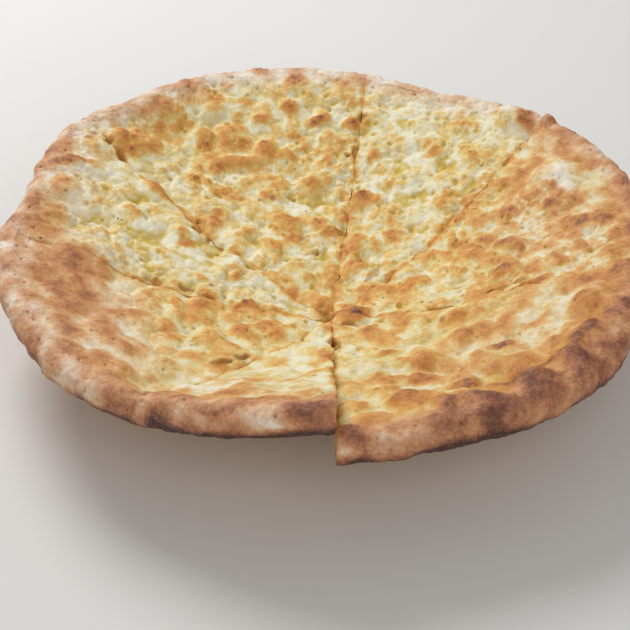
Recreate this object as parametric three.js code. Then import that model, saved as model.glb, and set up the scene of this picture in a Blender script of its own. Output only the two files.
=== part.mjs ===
// A round, flat focaccia that has sagged into a shallow dish, cut from its middle into seven
// slices that still lie together. Each slice is one closed solid: a lumpy top, a rolled rim, a
// plain underside and two cut faces. Millimetres, +Z up, standing on Z = 0. The near side, where
// one slice stands up above its neighbours, faces -Y. Bearings are degrees from +X towards +Y.
import * as THREE from 'three';

// Driving sizes
const breadRadius = 151; // mean outline
const rimRound = 7; // radius of the rolled rim
const dishDepth = 43; // how far the middle of the top lies below the crest of the rim
const dishPower = 1.7; // flat in the middle, steeper towards the rim
const middleThickness = 13;
const restingRadius = 42; // flat spot that the bread stands on
const undersidePower = 1.35;
const kerf = 0.7; // gap left by the knife
const kerfWave = 0.9; // how far a cut wanders from straight
const cutCentre = [2, -18];

// Mesh fineness
const topCell = 5.3;
const undersideCell = 11;
const rimTurns = 6; // facets round the rolled rim

const crestRadius = breadRadius - rimRound;
const rimHeight = middleThickness + dishDepth - rimRound; // centre of the rolled rim
const rimSlope = 26; // degrees: the top and the underside reach the rim on this slope
const rimArc = [90 + rimSlope, -90 + rimSlope];

// Where the outline leaves the circle: a bulge or a flat, at a bearing, over a half width.
const outlineBulges = [
  { at: 35, half: 28, by: 2 },
  { at: 68, half: 26, by: -5 },
  { at: 115, half: 24, by: 4 },
  { at: 148, half: 15, by: 4 },
  { at: 174, half: 20, by: -6.5 },
  { at: 226, half: 22, by: 3 },
  { at: 290, half: 18, by: -3 },
  { at: 338, half: 22, by: -4.5 },
  { at: 15, half: 14, by: 2 },
];
const rimSags = [
  { at: 68, half: 24, by: -3 },
  { at: 310, half: 40, by: -1 },
];

// Slices, anticlockwise from the cut at the right. Each lies between two cuts, given by their
// bearings, and its rim is lifted by so much beside the first cut and beside the second.
const slices = [
  { name: 'slice_right_back', from: -3.5, to: 48, lifted: [0, 0.5], crust: 0xd9a468 },
  { name: 'slice_back_right', from: 48, to: 84.6, lifted: [0, 0], crust: 0xdfc58a },
  { name: 'slice_back_left', from: 84.6, to: 141, lifted: [0, 2], crust: 0xd8b074 },
  { name: 'slice_left_back', from: 141, to: 179.5, lifted: [2, 1.5], crust: 0xdab87c },
  { name: 'slice_left_front', from: 179.5, to: 236, lifted: [1.5, 0], crust: 0xd6a06c },
  { name: 'slice_front_left', from: 236, to: 271.3, lifted: [0.5, 16], crust: 0xd9b47a },
  { name: 'slice_front_right', from: 271.3, to: 356.5, lifted: [0, 3], crust: 0xcf9460 },
];

// Broad swells and hollows of the whole sheet: middle, length, width, turn in degrees, rise.
const swells = [
  { at: [-88, 88], size: [70, 50], turn: -45, rise: -6 },
  { at: [95, -8], size: [80, 60], turn: 0, rise: 5 },
  { at: [110, 48], size: [30, 30], turn: 0, rise: 5 },
  { at: [22, -71], size: [38, 24], turn: 0, rise: 4 },
  { at: [-67, -108], size: [44, 18], turn: 55, rise: -6 },
  { at: [-20, 18], size: [40, 30], turn: 0, rise: 3 },
  { at: [-112, 12], size: [36, 22], turn: 10, rise: -3 },
];

// Blisters that browned because they stand proud: middle, length, width, turn, rise.
const blisters = [
  { at: [-99, 79], size: [30, 15], turn: 20, rise: 4 },
  { at: [-84, 107], size: [15, 13], turn: 0, rise: 3 },
  { at: [-66, 96], size: [13, 10], turn: 0, rise: 3 },
  { at: [-49, 98], size: [15, 12], turn: 0, rise: 2.5 },
  { at: [-30, 91], size: [18, 13], turn: -20, rise: 3.5 },
  { at: [-48, 82], size: [26, 9], turn: 15, rise: 3 },
  { at: [-17, 135], size: [20, 9], turn: 0, rise: 2 },
  { at: [-5, 77], size: [17, 11], turn: 0, rise: 3 },
  { at: [-20, 46], size: [18, 11], turn: -25, rise: 3.5 },
  { at: [-3, 46], size: [12, 12], turn: 0, rise: 3.5 },
  { at: [-84, 51], size: [22, 9], turn: -45, rise: 3 },
  { at: [-71, 27], size: [17, 12], turn: -40, rise: 3 },
  { at: [-44, 31], size: [11, 15], turn: 0, rise: 3 },
  { at: [-126, 45], size: [26, 9], turn: 40, rise: 3 },
  { at: [-124, 27], size: [17, 13], turn: 0, rise: 2 },
  { at: [-46, 6], size: [16, 12], turn: 60, rise: 3.5 },
  { at: [17, 64], size: [15, 11], turn: 0, rise: 3 },
  { at: [57, 59], size: [15, 13], turn: 45, rise: 3.5 },
  { at: [47, 99], size: [11, 8], turn: 0, rise: 2 },
  { at: [14, 35], size: [20, 13], turn: 0, rise: 3 },
  { at: [76, 44], size: [18, 13], turn: 0, rise: 2.5 },
  { at: [68, 15], size: [13, 10], turn: 0, rise: 3 },
  { at: [84, 15], size: [17, 13], turn: 0, rise: 3.5 },
  { at: [119, 17], size: [20, 16], turn: 0, rise: 3 },
  { at: [43, 4], size: [11, 11], turn: 0, rise: 2.5 },
  { at: [12, -16], size: [17, 17], turn: 0, rise: 4 },
  { at: [-2, -11], size: [10, 12], turn: 0, rise: 3 },
  { at: [82, -6], size: [15, 12], turn: 0, rise: 3 },
  { at: [110, -48], size: [26, 20], turn: 0, rise: 4.5 },
  { at: [-50, -56], size: [16, 22], turn: 0, rise: 2.5 },
  { at: [-90, -76], size: [22, 16], turn: -40, rise: 2.5 },
  { at: [-112, -30], size: [26, 22], turn: 0, rise: 2 },
  { at: [-32, -110], size: [13, 22], turn: -10, rise: 2.5 },
  { at: [73, -82], size: [26, 22], turn: 0, rise: 5.5 },
  { at: [75, -66], size: [13, 7], turn: 20, rise: 3 },
  { at: [62, -74], size: [16, 7], turn: 50, rise: 3 },
  { at: [57, -97], size: [12, 14], turn: 20, rise: 4 },
  { at: [47, -102], size: [14, 9], turn: 20, rise: 3 },
  { at: [60, -50], size: [14, 17], turn: 0, rise: 5 },
  { at: [56, -31], size: [11, 11], turn: 0, rise: 3.5 },
  { at: [45, -71], size: [20, 16], turn: 0, rise: 5 },
  { at: [40, -87], size: [12, 10], turn: 0, rise: 4 },
  { at: [52, -119], size: [22, 17], turn: 20, rise: 5 },
  { at: [34, -112], size: [20, 17], turn: 0, rise: 4.5 },
  { at: [68, -126], size: [24, 22], turn: 25, rise: 8 },
  { at: [84, -110], size: [22, 21], turn: 40, rise: 8 },
  { at: [99, -95], size: [18, 19], turn: 40, rise: 7.5 },
  { at: [106, -77], size: [24, 18], turn: 55, rise: 6 },
  { at: [122, -60], size: [20, 15], turn: 62, rise: 5 },
  { at: [134, -30], size: [22, 14], turn: 75, rise: 5 },
  { at: [-63, -133], size: [14, 12], turn: 0, rise: 4 },
  { at: [-76, -137], size: [14, 10], turn: -30, rise: 3 },
  { at: [106, 56], size: [20, 19], turn: 0, rise: 4.5 },
  { at: [91, 103], size: [17, 16], turn: 45, rise: 8 },
  { at: [-107, -13], size: [34, 18], turn: 15, rise: 4.5 },
];
const blisterSteepness = 1.6; // 1 is a bell, more is flatter on top with steeper sides

// Crags: rounded lumps with clefts between them, coarse behind the left and right cuts and
// softer in front of them. The rim is smooth.
const crags = { size: 15, height: 2.4, seed: 11 };
const cragWarp = { size: 18, by: 4, seed: 31 }; // pulls the lumps out of round
const craggyBehind = [-40, 0]; // from soft to full between these Y
const softShare = 0.5;
const rimLumps = { size: 34, height: 1.6, seed: 5 };
const cutWander = { size: 24, seed: 23 };

const radians = THREE.MathUtils.degToRad;
const clamp = THREE.MathUtils.clamp;
const lerp = THREE.MathUtils.lerp;
const smoothstep = THREE.MathUtils.smoothstep;

// A fixed number from 0 to 1 for each whole pair of coordinates.
function chance(column, row, seed) {
  let bits = (Math.imul(column, 374761393) + Math.imul(row, 668265263)
    + Math.imul(seed, 1013904223)) | 0;
  bits = Math.imul(bits ^ (bits >>> 13), 1274126177);
  return ((bits ^ (bits >>> 16)) >>> 0) / 4294967296;
}

// Smooth noise from -1 to 1 along one coordinate.
function wander(along, size, seed) {
  const place = along / size;
  const step = Math.floor(place);
  const ease = smoothstep(place - step, 0, 1);
  return 2 * lerp(chance(step, 0, seed), chance(step + 1, 0, seed), ease) - 1;
}

// Smooth noise from -1 to 1 over the plane.
function patches(x, y, size, seed) {
  const column = Math.floor(x / size);
  const row = Math.floor(y / size);
  const easeX = smoothstep(x / size - column, 0, 1);
  const easeY = smoothstep(y / size - row, 0, 1);
  const near = lerp(chance(column, row, seed), chance(column + 1, row, seed), easeX);
  const far = lerp(chance(column, row + 1, seed), chance(column + 1, row + 1, seed), easeX);
  return 2 * lerp(near, far, easeY) - 1;
}

// Rounded lumps: 1 on top of a lump, 0 in the clefts.
function lumps(x, y, { size, seed }) {
  const column = Math.floor(x / size);
  const row = Math.floor(y / size);
  let nearest = 2;
  for (let i = column - 1; i <= column + 1; i += 1) {
    for (let j = row - 1; j <= row + 1; j += 1) {
      const middleX = i + 0.15 + 0.7 * chance(i, j, seed);
      const middleY = j + 0.15 + 0.7 * chance(i, j, seed + 1);
      nearest = Math.min(nearest, Math.hypot(x / size - middleX, y / size - middleY));
    }
  }
  return clamp(1 - 1.5 * nearest * nearest, 0, 1);
}

// Sum of the bulges at a bearing, each a raised cosine.
function bulgeSum(bearing, bulges) {
  let sum = 0;
  for (const { at, half, by } of bulges) {
    const apart = Math.abs(THREE.MathUtils.euclideanModulo(bearing - at + 180, 360) - 180);
    if (apart < half) sum += by * 0.5 * (1 + Math.cos(Math.PI * apart / half));
  }
  return sum;
}

// Sum of the swells or blisters at a point, each a smooth dome on an ellipse.
function domeSum(x, y, domes, steepness) {
  let sum = 0;
  for (const { at, size, turn, rise } of domes) {
    const cos = Math.cos(radians(turn));
    const sin = Math.sin(radians(turn));
    const along = ((x - at[0]) * cos + (y - at[1]) * sin) / (size[0] / 2);
    const across = ((y - at[1]) * cos - (x - at[0]) * sin) / (size[1] / 2);
    const out = along * along + across * across;
    sum += rise * Math.exp(-(out ** steepness));
  }
  return sum;
}

function bearingOf(x, y) {
  return THREE.MathUtils.radToDeg(Math.atan2(y, x));
}

function outlineRadius(bearing) {
  return breadRadius + bulgeSum(bearing, outlineBulges);
}

// Distance from the middle as if the outline were the mean circle.
function evenRadius(x, y) {
  return Math.hypot(x, y) * breadRadius / outlineRadius(bearingOf(x, y));
}

// The sag of the rim grows in from the middle with the dish.
function rimSagAt(x, y) {
  return bulgeSum(bearingOf(x, y), rimSags) * (evenRadius(x, y) / crestRadius) ** 2;
}

// Where the round of the rim, at an angle from level, lies out from the middle and up.
function rimOut(angle) {
  return crestRadius + rimRound * Math.cos(radians(angle));
}

function rimUp(angle) {
  return rimHeight + rimRound * Math.sin(radians(angle));
}

// Swells, blisters and crags of the top. Only the blisters go on over the rim, at a lower height.
function topRelief(x, y) {
  const inward = 1 - smoothstep(evenRadius(x, y), crestRadius - 16, crestRadius);
  const craggy = lerp(softShare, 1, smoothstep(y, craggyBehind[0], craggyBehind[1]));
  const warpedX = x + cragWarp.by * patches(x, y, cragWarp.size, cragWarp.seed);
  const warpedY = y + cragWarp.by * patches(x, y, cragWarp.size, cragWarp.seed + 1);
  const cragRelief = crags.height * craggy * (lumps(warpedX, warpedY, crags) - 0.4);
  return (domeSum(x, y, swells, 1) + cragRelief) * inward
    + domeSum(x, y, blisters, blisterSteepness) * lerp(0.4, 1, inward);
}

function topHeight(x, y) {
  const [join] = rimArc;
  const share = evenRadius(x, y) / rimOut(join);
  return middleThickness + (rimUp(join) - middleThickness) * share ** dishPower
    + rimSagAt(x, y) + topRelief(x, y);
}

function undersideHeight(x, y) {
  const join = rimArc[1];
  const share = (evenRadius(x, y) - restingRadius) / (rimOut(join) - restingRadius);
  return share <= 0 ? 0 : (rimUp(join) + rimSagAt(x, y)) * share ** undersidePower;
}

// How far along a ray from a slice's tip the even radius reaches a value.
function reachAlong(tip, bearing, radius) {
  let near = 0;
  let far = 2 * breadRadius;
  const cos = Math.cos(radians(bearing));
  const sin = Math.sin(radians(bearing));
  for (let halving = 0; halving < 40; halving += 1) {
    const middle = (near + far) / 2;
    if (evenRadius(tip[0] + middle * cos, tip[1] + middle * sin) < radius) near = middle;
    else far = middle;
  }
  return near;
}

// The tip of a slice lies in from the cut centre by half a kerf from both cuts.
function sliceTip({ from, to }) {
  const middle = radians((from + to) / 2);
  const inward = (kerf / 2) / Math.sin(radians((to - from) / 2));
  return [cutCentre[0] + inward * Math.cos(middle), cutCentre[1] + inward * Math.sin(middle)];
}

// Both slices beside a cut follow the same wandering knife line, straight at the middle and
// over the rim.
function knifeWander(cutBearing, distance) {
  const seed = cutWander.seed + Math.round(THREE.MathUtils.euclideanModulo(cutBearing, 360));
  const share = smoothstep(distance, 5, 40) * (1 - smoothstep(distance, 75, 115));
  return kerfWave * wander(distance, cutWander.size, seed) * share;
}

// Joins two rows of points with triangles; each row has its vertex numbers and its parameters.
function joinRows(triangles, inner, outer) {
  let i = 0;
  let j = 0;
  while (i < inner.vertices.length - 1 || j < outer.vertices.length - 1) {
    const canStepInner = i < inner.vertices.length - 1;
    const canStepOuter = j < outer.vertices.length - 1;
    const innerFirst = canStepInner
      && (!canStepOuter || inner.at[i + 1] <= outer.at[j + 1]);
    const corners = innerFirst
      ? [inner.vertices[i], outer.vertices[j], inner.vertices[i + 1]]
      : [inner.vertices[i], outer.vertices[j], outer.vertices[j + 1]];
    if (new Set(corners).size === 3) triangles.push(corners);
    if (innerFirst) i += 1;
    else j += 1;
  }
}

function makeSlice(slice) {
  const tip = sliceTip(slice);
  const span = slice.to - slice.from;
  const points = [];
  const rows = [];

  // A point of the slice: share across it, distance out from the tip, height, and how far out
  // along the slice it counts as for the lift.
  function addPoint(share, distance, height, outShare) {
    const bearing = slice.from + share * span;
    const direction = [Math.cos(radians(bearing)), Math.sin(radians(bearing))];
    const wanderFirst = knifeWander(slice.from, distance);
    const wanderSecond = knifeWander(slice.to, distance);
    const sideways = lerp(wanderFirst, wanderSecond, share);
    const x = tip[0] + distance * direction[0] - sideways * direction[1];
    const y = tip[1] + distance * direction[1] + sideways * direction[0];
    const lift = lerp(slice.lifted[0], slice.lifted[1], share) * outShare;
    points.push(x, y, height(x, y) + lift);
    return points.length / 3 - 1;
  }

  function addRow(cells, side, distanceAt, height, outShare) {
    const row = { vertices: [], at: [], side, distance: [] };
    for (let column = 0; column <= cells; column += 1) {
      const share = cells ? column / cells : 0.5;
      const bearing = slice.from + share * span;
      const distance = distanceAt(bearing);
      row.vertices.push(addPoint(share, distance, height, outShare));
      row.at.push(share);
      row.distance.push(distance);
    }
    rows.push(row);
  }

  const [arcFrom, arcTo] = rimArc;
  const arcLength = radians(span) * breadRadius;

  // Top, from the tip out to where the rolled rim begins.
  const topRows = Math.round(crestRadius / topCell);
  const reachTop = (bearing) => reachAlong(tip, bearing, rimOut(arcFrom));
  for (let row = 0; row <= topRows; row += 1) {
    const outShare = row / topRows;
    const cells = row ? Math.max(1, Math.round(arcLength * outShare / topCell)) : 0;
    addRow(cells, 'top', (bearing) => reachTop(bearing) * outShare, topHeight, outShare);
  }

  // Rolled rim, over and round to the underside.
  for (let turn = 1; turn <= rimTurns; turn += 1) {
    const angle = lerp(arcFrom, arcTo, turn / rimTurns);
    const cells = Math.round(arcLength / lerp(topCell, undersideCell, turn > rimTurns / 2 ? 0.6 : 0));
    const side = turn <= rimTurns / 2 ? 'top' : 'underside';
    const along = (bearing) => radians(THREE.MathUtils.euclideanModulo(bearing, 360)) * breadRadius;
    const lump = (bearing) => rimLumps.height
      * wander(along(bearing), rimLumps.size, rimLumps.seed);
    const facingOut = Math.cos(radians(angle));
    const facingUp = Math.max(0, Math.sin(radians(angle)));
    addRow(
      cells,
      side,
      (bearing) => reachAlong(tip, bearing, rimOut(angle)) + lump(bearing) * facingOut,
      (x, y) => rimUp(angle) + rimSagAt(x, y) + topRelief(x, y) * facingUp,
      1,
    );
  }

  // Underside, back to the tip.
  const undersideRows = Math.round(crestRadius / undersideCell);
  const reachUnder = (bearing) => reachAlong(tip, bearing, rimOut(arcTo));
  for (let row = undersideRows - 1; row >= 0; row -= 1) {
    const outShare = row / undersideRows;
    const cells = row ? Math.max(1, Math.round(arcLength * outShare / undersideCell)) : 0;
    addRow(
      cells,
      'underside',
      (bearing) => reachUnder(bearing) * outShare,
      undersideHeight,
      outShare,
    );
  }

  const triangles = [];
  for (let row = 1; row < rows.length; row += 1) joinRows(triangles, rows[row - 1], rows[row]);

  // The two cut faces, each between the top's edge and the underside's.
  for (const last of [false, true]) {
    const pick = (list) => (last ? list[list.length - 1] : list[0]);
    const edge = (chosen) => ({
      vertices: chosen.map((row) => pick(row.vertices)),
      at: chosen.map((row) => pick(row.distance)),
    });
    const over = rows.filter((row) => row.side === 'top');
    const under = rows.filter((row) => row.side === 'underside').reverse();
    under.push(over[over.length - 1]);
    const face = [];
    joinRows(face, edge(over), edge(under));
    // joinRows turns this way round for the first cut face.
    for (const [a, b, c] of face) triangles.push(last ? [a, c, b] : [a, b, c]);
  }

  const geometry = new THREE.BufferGeometry();
  geometry.setAttribute('position', new THREE.Float32BufferAttribute(points, 3));
  geometry.setIndex(triangles.flat());
  geometry.computeVertexNormals();
  const material = new THREE.MeshStandardMaterial({
    color: slice.crust, roughness: 0.85, metalness: 0,
  });
  const mesh = new THREE.Mesh(geometry, material);
  mesh.name = slice.name;
  return mesh;
}

const focaccia = new THREE.Group();
for (const slice of slices) focaccia.add(makeSlice(slice));

export default focaccia;
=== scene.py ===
"""The looks of a round focaccia that has sagged into a shallow dish and is cut into seven slices.

Each slice is a fine mesh on the form of its plain solid: rows of points run out from its tip, over
the rolled rim and back below. Browning, flour and the like are worked out for every point from
where they lie on the bread, and the finishes read them. Millimetres up to the making of a mesh,
then metres, +Z up. Bearings are degrees from +X towards +Y. The near side faces -Y.
"""
import math
from types import SimpleNamespace

import bpy
import numpy as np
from mathutils import Matrix, Vector


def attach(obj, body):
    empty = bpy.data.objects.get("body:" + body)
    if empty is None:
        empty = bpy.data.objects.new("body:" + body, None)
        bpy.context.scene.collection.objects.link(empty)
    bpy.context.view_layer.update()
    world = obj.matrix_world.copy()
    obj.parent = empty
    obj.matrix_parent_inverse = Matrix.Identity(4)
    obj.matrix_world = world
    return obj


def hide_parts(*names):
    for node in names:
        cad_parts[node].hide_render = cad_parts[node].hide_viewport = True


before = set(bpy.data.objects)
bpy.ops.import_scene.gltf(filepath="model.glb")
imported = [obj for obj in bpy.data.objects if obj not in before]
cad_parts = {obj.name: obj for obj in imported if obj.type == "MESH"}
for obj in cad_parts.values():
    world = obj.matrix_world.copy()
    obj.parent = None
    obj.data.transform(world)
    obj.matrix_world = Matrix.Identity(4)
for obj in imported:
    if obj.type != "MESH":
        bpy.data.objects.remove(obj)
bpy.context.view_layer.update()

MM = 0.001

# ---------------------------------------------------------------- the bread's driving sizes

BREAD_RADIUS = 151
RIM_ROUND = 7
DISH_DEPTH = 43
DISH_POWER = 1.7
MIDDLE_THICKNESS = 13
RESTING_RADIUS = 42
UNDERSIDE_POWER = 1.35
KERF = 0.7
KERF_WAVE = 0.9
CUT_CENTRE = (2, -18)
CREST_RADIUS = BREAD_RADIUS - RIM_ROUND
RIM_HEIGHT = MIDDLE_THICKNESS + DISH_DEPTH - RIM_ROUND
RIM_SLOPE = 26
RIM_ARC = (90 + RIM_SLOPE, -90 + RIM_SLOPE)

# Fineness of the meshes: the narrower a slice, the finer, for about as many triangles each.
FINEST_CELL = 0.44
CELL_PER_ROOT_DEGREE = 0.066
COARSEST = 4  # near the tip, rows have every fourth of the points that the rim has
FACE_CELLS = 13

# Bulges and sags of the rim: bearing, half width, by how much.
OUTLINE_BULGES = [
    (35, 28, 2), (68, 26, -5), (115, 24, 4), (148, 15, 4), (174, 20, -6.5), (226, 22, 3),
    (290, 18, -3), (338, 22, -4.5), (15, 14, 2),
]
RIM_SAGS = [(68, 24, -3), (310, 40, -1)]

# Slices: the bearings of the two cuts, and how far the rim is lifted beside each.
SLICES = {
    "slice_right_back": (-3.5, 48, 0, 0.5),
    "slice_back_right": (48, 84.6, 0, 0),
    "slice_back_left": (84.6, 141, 0, 2),
    "slice_left_back": (141, 179.5, 2, 1.5),
    "slice_left_front": (179.5, 236, 1.5, 0),
    "slice_front_left": (236, 271.3, 0.5, 16),
    "slice_front_right": (271.3, 356.5, 0, 3),
}

# How much browner than its neighbours each slice is.
SLICE_BROWNING = {
    "slice_right_back": 0.07, "slice_back_right": -0.06, "slice_back_left": -0.04,
    "slice_left_back": -0.15, "slice_left_front": 0.04, "slice_front_left": -0.03,
    "slice_front_right": 0.0,
}

# Swells and hollows: x, y, length, width, turn, rise.
SWELLS = [
    (-88, 88, 70, 50, -45, -6),
    (95, -8, 80, 60, 0, 5),
    (110, 48, 30, 30, 0, 5),
    (22, -71, 38, 24, 0, 4),
    (-67, -108, 44, 18, 55, -6),
    (-20, 18, 40, 30, 0, 3),
    (-112, 12, 36, 22, 10, -3),
]

# Blisters of the plain solids: x, y, length, width, turn, rise.
BLISTERS = [
    (-99, 79, 30, 15, 20, 4), (-84, 107, 15, 13, 0, 3), (-66, 96, 13, 10, 0, 3),
    (-49, 98, 15, 12, 0, 2.5), (-30, 91, 18, 13, -20, 3.5), (-48, 82, 26, 9, 15, 3),
    (-17, 135, 20, 9, 0, 2), (-5, 77, 17, 11, 0, 3), (-20, 46, 18, 11, -25, 3.5),
    (-3, 46, 12, 12, 0, 3.5), (-84, 51, 22, 9, -45, 3), (-71, 27, 17, 12, -40, 3),
    (-44, 31, 11, 15, 0, 3), (-126, 45, 26, 9, 40, 3), (-124, 27, 17, 13, 0, 2),
    (-46, 6, 16, 12, 60, 3.5), (17, 64, 15, 11, 0, 3), (57, 59, 15, 13, 45, 3.5),
    (47, 99, 11, 8, 0, 2), (14, 35, 20, 13, 0, 3), (76, 44, 18, 13, 0, 2.5),
    (68, 15, 13, 10, 0, 3), (84, 15, 17, 13, 0, 3.5), (119, 17, 20, 16, 0, 3),
    (43, 4, 11, 11, 0, 2.5), (12, -16, 17, 17, 0, 4), (-2, -11, 10, 12, 0, 3),
    (82, -6, 15, 12, 0, 3), (110, -48, 26, 20, 0, 4.5), (-50, -56, 16, 22, 0, 2.5),
    (-90, -76, 22, 16, -40, 2.5), (-112, -30, 26, 22, 0, 2), (-32, -110, 13, 22, -10, 2.5),
    (73, -82, 26, 22, 0, 5.5), (75, -66, 13, 7, 20, 3), (62, -74, 16, 7, 50, 3),
    (57, -97, 12, 14, 20, 4), (47, -102, 14, 9, 20, 3), (60, -50, 14, 17, 0, 5),
    (56, -31, 11, 11, 0, 3.5), (45, -71, 20, 16, 0, 5), (40, -87, 12, 10, 0, 4),
    (52, -119, 22, 17, 20, 5), (34, -112, 20, 17, 0, 4.5), (68, -126, 24, 22, 25, 8),
    (84, -110, 22, 21, 40, 8), (99, -95, 18, 19, 40, 7.5), (106, -77, 24, 18, 55, 6),
    (122, -60, 20, 15, 62, 5), (134, -30, 22, 14, 75, 5), (-63, -133, 14, 12, 0, 4),
    (-76, -137, 14, 10, -30, 3), (106, 56, 20, 19, 0, 4.5), (91, 103, 17, 16, 45, 8),
    (-107, -13, 34, 18, 15, 4.5),
]
BLISTER_STEEPNESS = 1.6  # 1 is a bell, more is flatter on top with steeper sides
DOMES_ON_RIM = 0.4  # share of their rise that blisters keep over the rim
CRAGS = (15, 11)  # size and seed of a noise, as in the pairs below
CRAG_HEIGHT = 2.4
CRAG_LEVEL = 0.4  # how far up a crag the level of the dough around it lies
CRAG_WARP = (18, 31)
CRAG_WARP_BY = 4
CRAGGY_BEHIND = (-40, 0)  # from soft to full between these y
SOFT_SHARE = 0.5
RIM_BLEND = 16  # width inside the crest of the rim over which the relief of the top fades out
RIM_LUMPS = (34, 5)
RIM_LUMP_HEIGHT = 1.6
CUT_WANDER = (24, 23)
KNIFE_WANDERS_FROM = (5, 40)  # from straight to wandering between these distances from the tip
KNIFE_WANDERS_TO = (75, 115)  # and straight again between these

# ---------------------------------------------------------------- fine relief and colour places

# Places along each cut where the crust has stayed apart: distance from the tip, half length.
CUT_GAPS = {
    -3.5: [(46, 4), (57, 4), (74, 6), (86, 4), (118, 5), (136, 14)],
    48: [(39, 4), (60, 5), (84, 6), (95, 5), (108, 6), (125, 5), (138, 6)],
    84.6: [(30, 3), (63, 4), (85, 4), (115, 5), (135, 3)],
    141: [(50, 3), (74, 4), (86, 5), (99, 4), (137, 4), (145, 4)],
    179.5: [(57, 6), (68, 5), (81, 5), (95, 4)],
    236: [(60, 5), (70, 6), (40, 3)],
    271.3: [(27, 5), (56, 6), (75, 8), (110, 30)],
}
GAP_EDGE = (0.5, 1.2)  # a gap closes between these, in half lengths from its middle
GAP_WANDER = 5
GAP_SEED = 400  # added to the seed of the cut, as TORN_SEED is
OPEN_CUTS = (-3.5, 271.3, 356.5)
NARROW_GAP = 0.55  # of the kerf, where the other cuts have stayed apart
CLOSING_REACH = 2  # the spreading of closed crust dies away over so much beside the cut
TORN_SIZE = 5
TORN_BY = 1.1
TORN_SEED = 800
TORN_REACH = 4
TORN_FROM = (4, 12)  # tears begin between these distances from the tip
TORN_TO = (110, 135)  # and end between these
TIP_MEETS = (0.5, 5)  # the tips of the crust meet inside the first distance, not past the second
OVER_RIM = (-62, -48)  # angles on the round of the rim between which closing and tears fade in

# The crumbled edge of an open cut and the crevice of a closed one. Unevenness is a level and,
# here and below, how much each noise adds, with its size and seed.
CRUMBLED = (0.5, (0.5, 6, 91))
CRUMBLED_DEPTH = 0.8
CRUMBLED_REACH = 0.9
CREVICE = (0.55, (0.45, 9, 93))
CREVICE_DEPTH = 1.5
CREVICE_REACH = 1.5
CREVICE_ON_RIM = 0.4  # share of its depth that it keeps towards the rim

# Deep little holes where crags overhang: x, y, length, width, turn, depth.
HOLES = [
    (-44, -72, 9, 4, 35, 3.5), (-35, -65, 8, 4, 40, 3), (12, 96, 3, 7, 0, 2.5),
    (8, 93, 4, 3, 0, 3), (15, 116, 8, 4, 0, 2.5), (6, 66, 3, 5, 0, 1.5), (6, 45, 5, 5, 0, 2),
    (-6, 30, 3, 3, 0, 2), (-12, 39, 7, 3, 40, 1.5), (-110, 73, 5, 4, 0, 2.5),
    (-104, 68, 4, 6, 30, 2.5), (-64, 38, 4, 4, 0, 2), (-65, 32, 4, 3, 0, 2.5),
    (-58, 28, 3, 3, 0, 2), (-79, -15, 9, 3, -10, 2), (-66, -13, 7, 4, -15, 2.5),
    (-55, -17, 10, 3, -15, 2), (4, -45, 6, 5, 0, 2.5), (1, -17, 5, 7, 0, 2),
    (11, -26, 9, 3, -10, 2), (49, -19, 7, 3, -10, 1.5), (76, -17, 12, 4, 5, 2.5),
    (87, -16, 7, 3, 5, 1.5), (28, 11, 4, 4, 30, 1.5), (22, 15, 3, 13, -35, 1.2),
    (-83, -137, 6, 4, 45, 1.5),
]
HOLE_STEEPNESS = 2.2
HOLE_SHARE = 0.55  # of the depths above
HOLE_WARP = (3, 65)
HOLE_WARP_BY = 1.3

# Small swellings too fine for the plain solids: x, y, length, width, turn, rise.
NUBBLES = [
    (18, -60, 26, 5, 15, 1.4), (34, -73, 18, 5, -50, 1.6), (6, -63, 10, 5, 40, 1.2),
    (96, -20, 12, 5, 25, 1.6),
    (86, -70, 7, 5, 40, 1.4), (60, -98, 20, 7, 70, 1.6), (31, -103, 9, 4, 40, 1.2),
    (20, -88, 26, 7, 0, 1.4), (75, -27, 22, 9, 10, 1.5), (100, 57, 20, 6, 60, 1.4),
    (118, 65, 16, 4, -25, 1.4), (115, 85, 22, 6, -40, 1.2), (108, 36, 18, 8, 0, 1.4),
    (-8, -145, 22, 8, 0, 1.8), (-65, -137, 14, 10, -25, 1.8), (-36, -16, 8, 7, 0, 1.6),
    (-58, -7, 10, 9, 30, 1.6), (-26, -15, 12, 6, 0, 1.4), (-58, -24, 9, 8, 0, 1.4),
    (-67, -30, 5, 13, 15, 1.4), (-82, -24, 12, 8, 0, 1.2), (-77, -56, 10, 13, -20, 1.4),
    (-18, -30, 9, 7, 0, 1.2), (-34, -38, 12, 7, -30, 1.2), (-4, -36, 6, 10, 0, 1.2),
    (-60, 50, 13, 8, 20, 1.8), (-30, 64, 12, 8, 0, 1.6), (-95, 30, 15, 9, 20, 1.6),
    (-108, 5, 16, 9, 0, 1.6), (-78, 6, 13, 10, 0, 1.6), (-10, 11, 9, 8, 0, 1.8),
    (-28, 20, 11, 9, 0, 1.8), (28, 41, 12, 9, 0, 1.6), (37, 76, 16, 9, 10, 1.5),
    (70, 84, 9, 11, 0, 1.6), (98, 100, 12, 13, -40, 1.8), (57, 30, 12, 10, 0, 1.5),
    (22, 93, 10, 8, 0, 1.6), (9, 112, 9, 7, 0, 1.5), (-36, 111, 12, 6, 0, 1.5),
    (-9, 113, 10, 6, 0, 1.6), (-22, 121, 13, 7, 0, 1.5), (-60, 112, 16, 8, 20, 1.5),
    (-118, 66, 9, 12, 0, 1.5), (-91, 103, 16, 8, 40, 1.5), (-72, 66, 12, 8, 20, 1.5),
    (-116, -4, 36, 5, 10, 1.6), (-120, 8, 26, 4, 25, 1.4), (109, 99, 9, 7, 40, 5),
    (88, 107, 12, 11, 45, 3),
]

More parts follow.
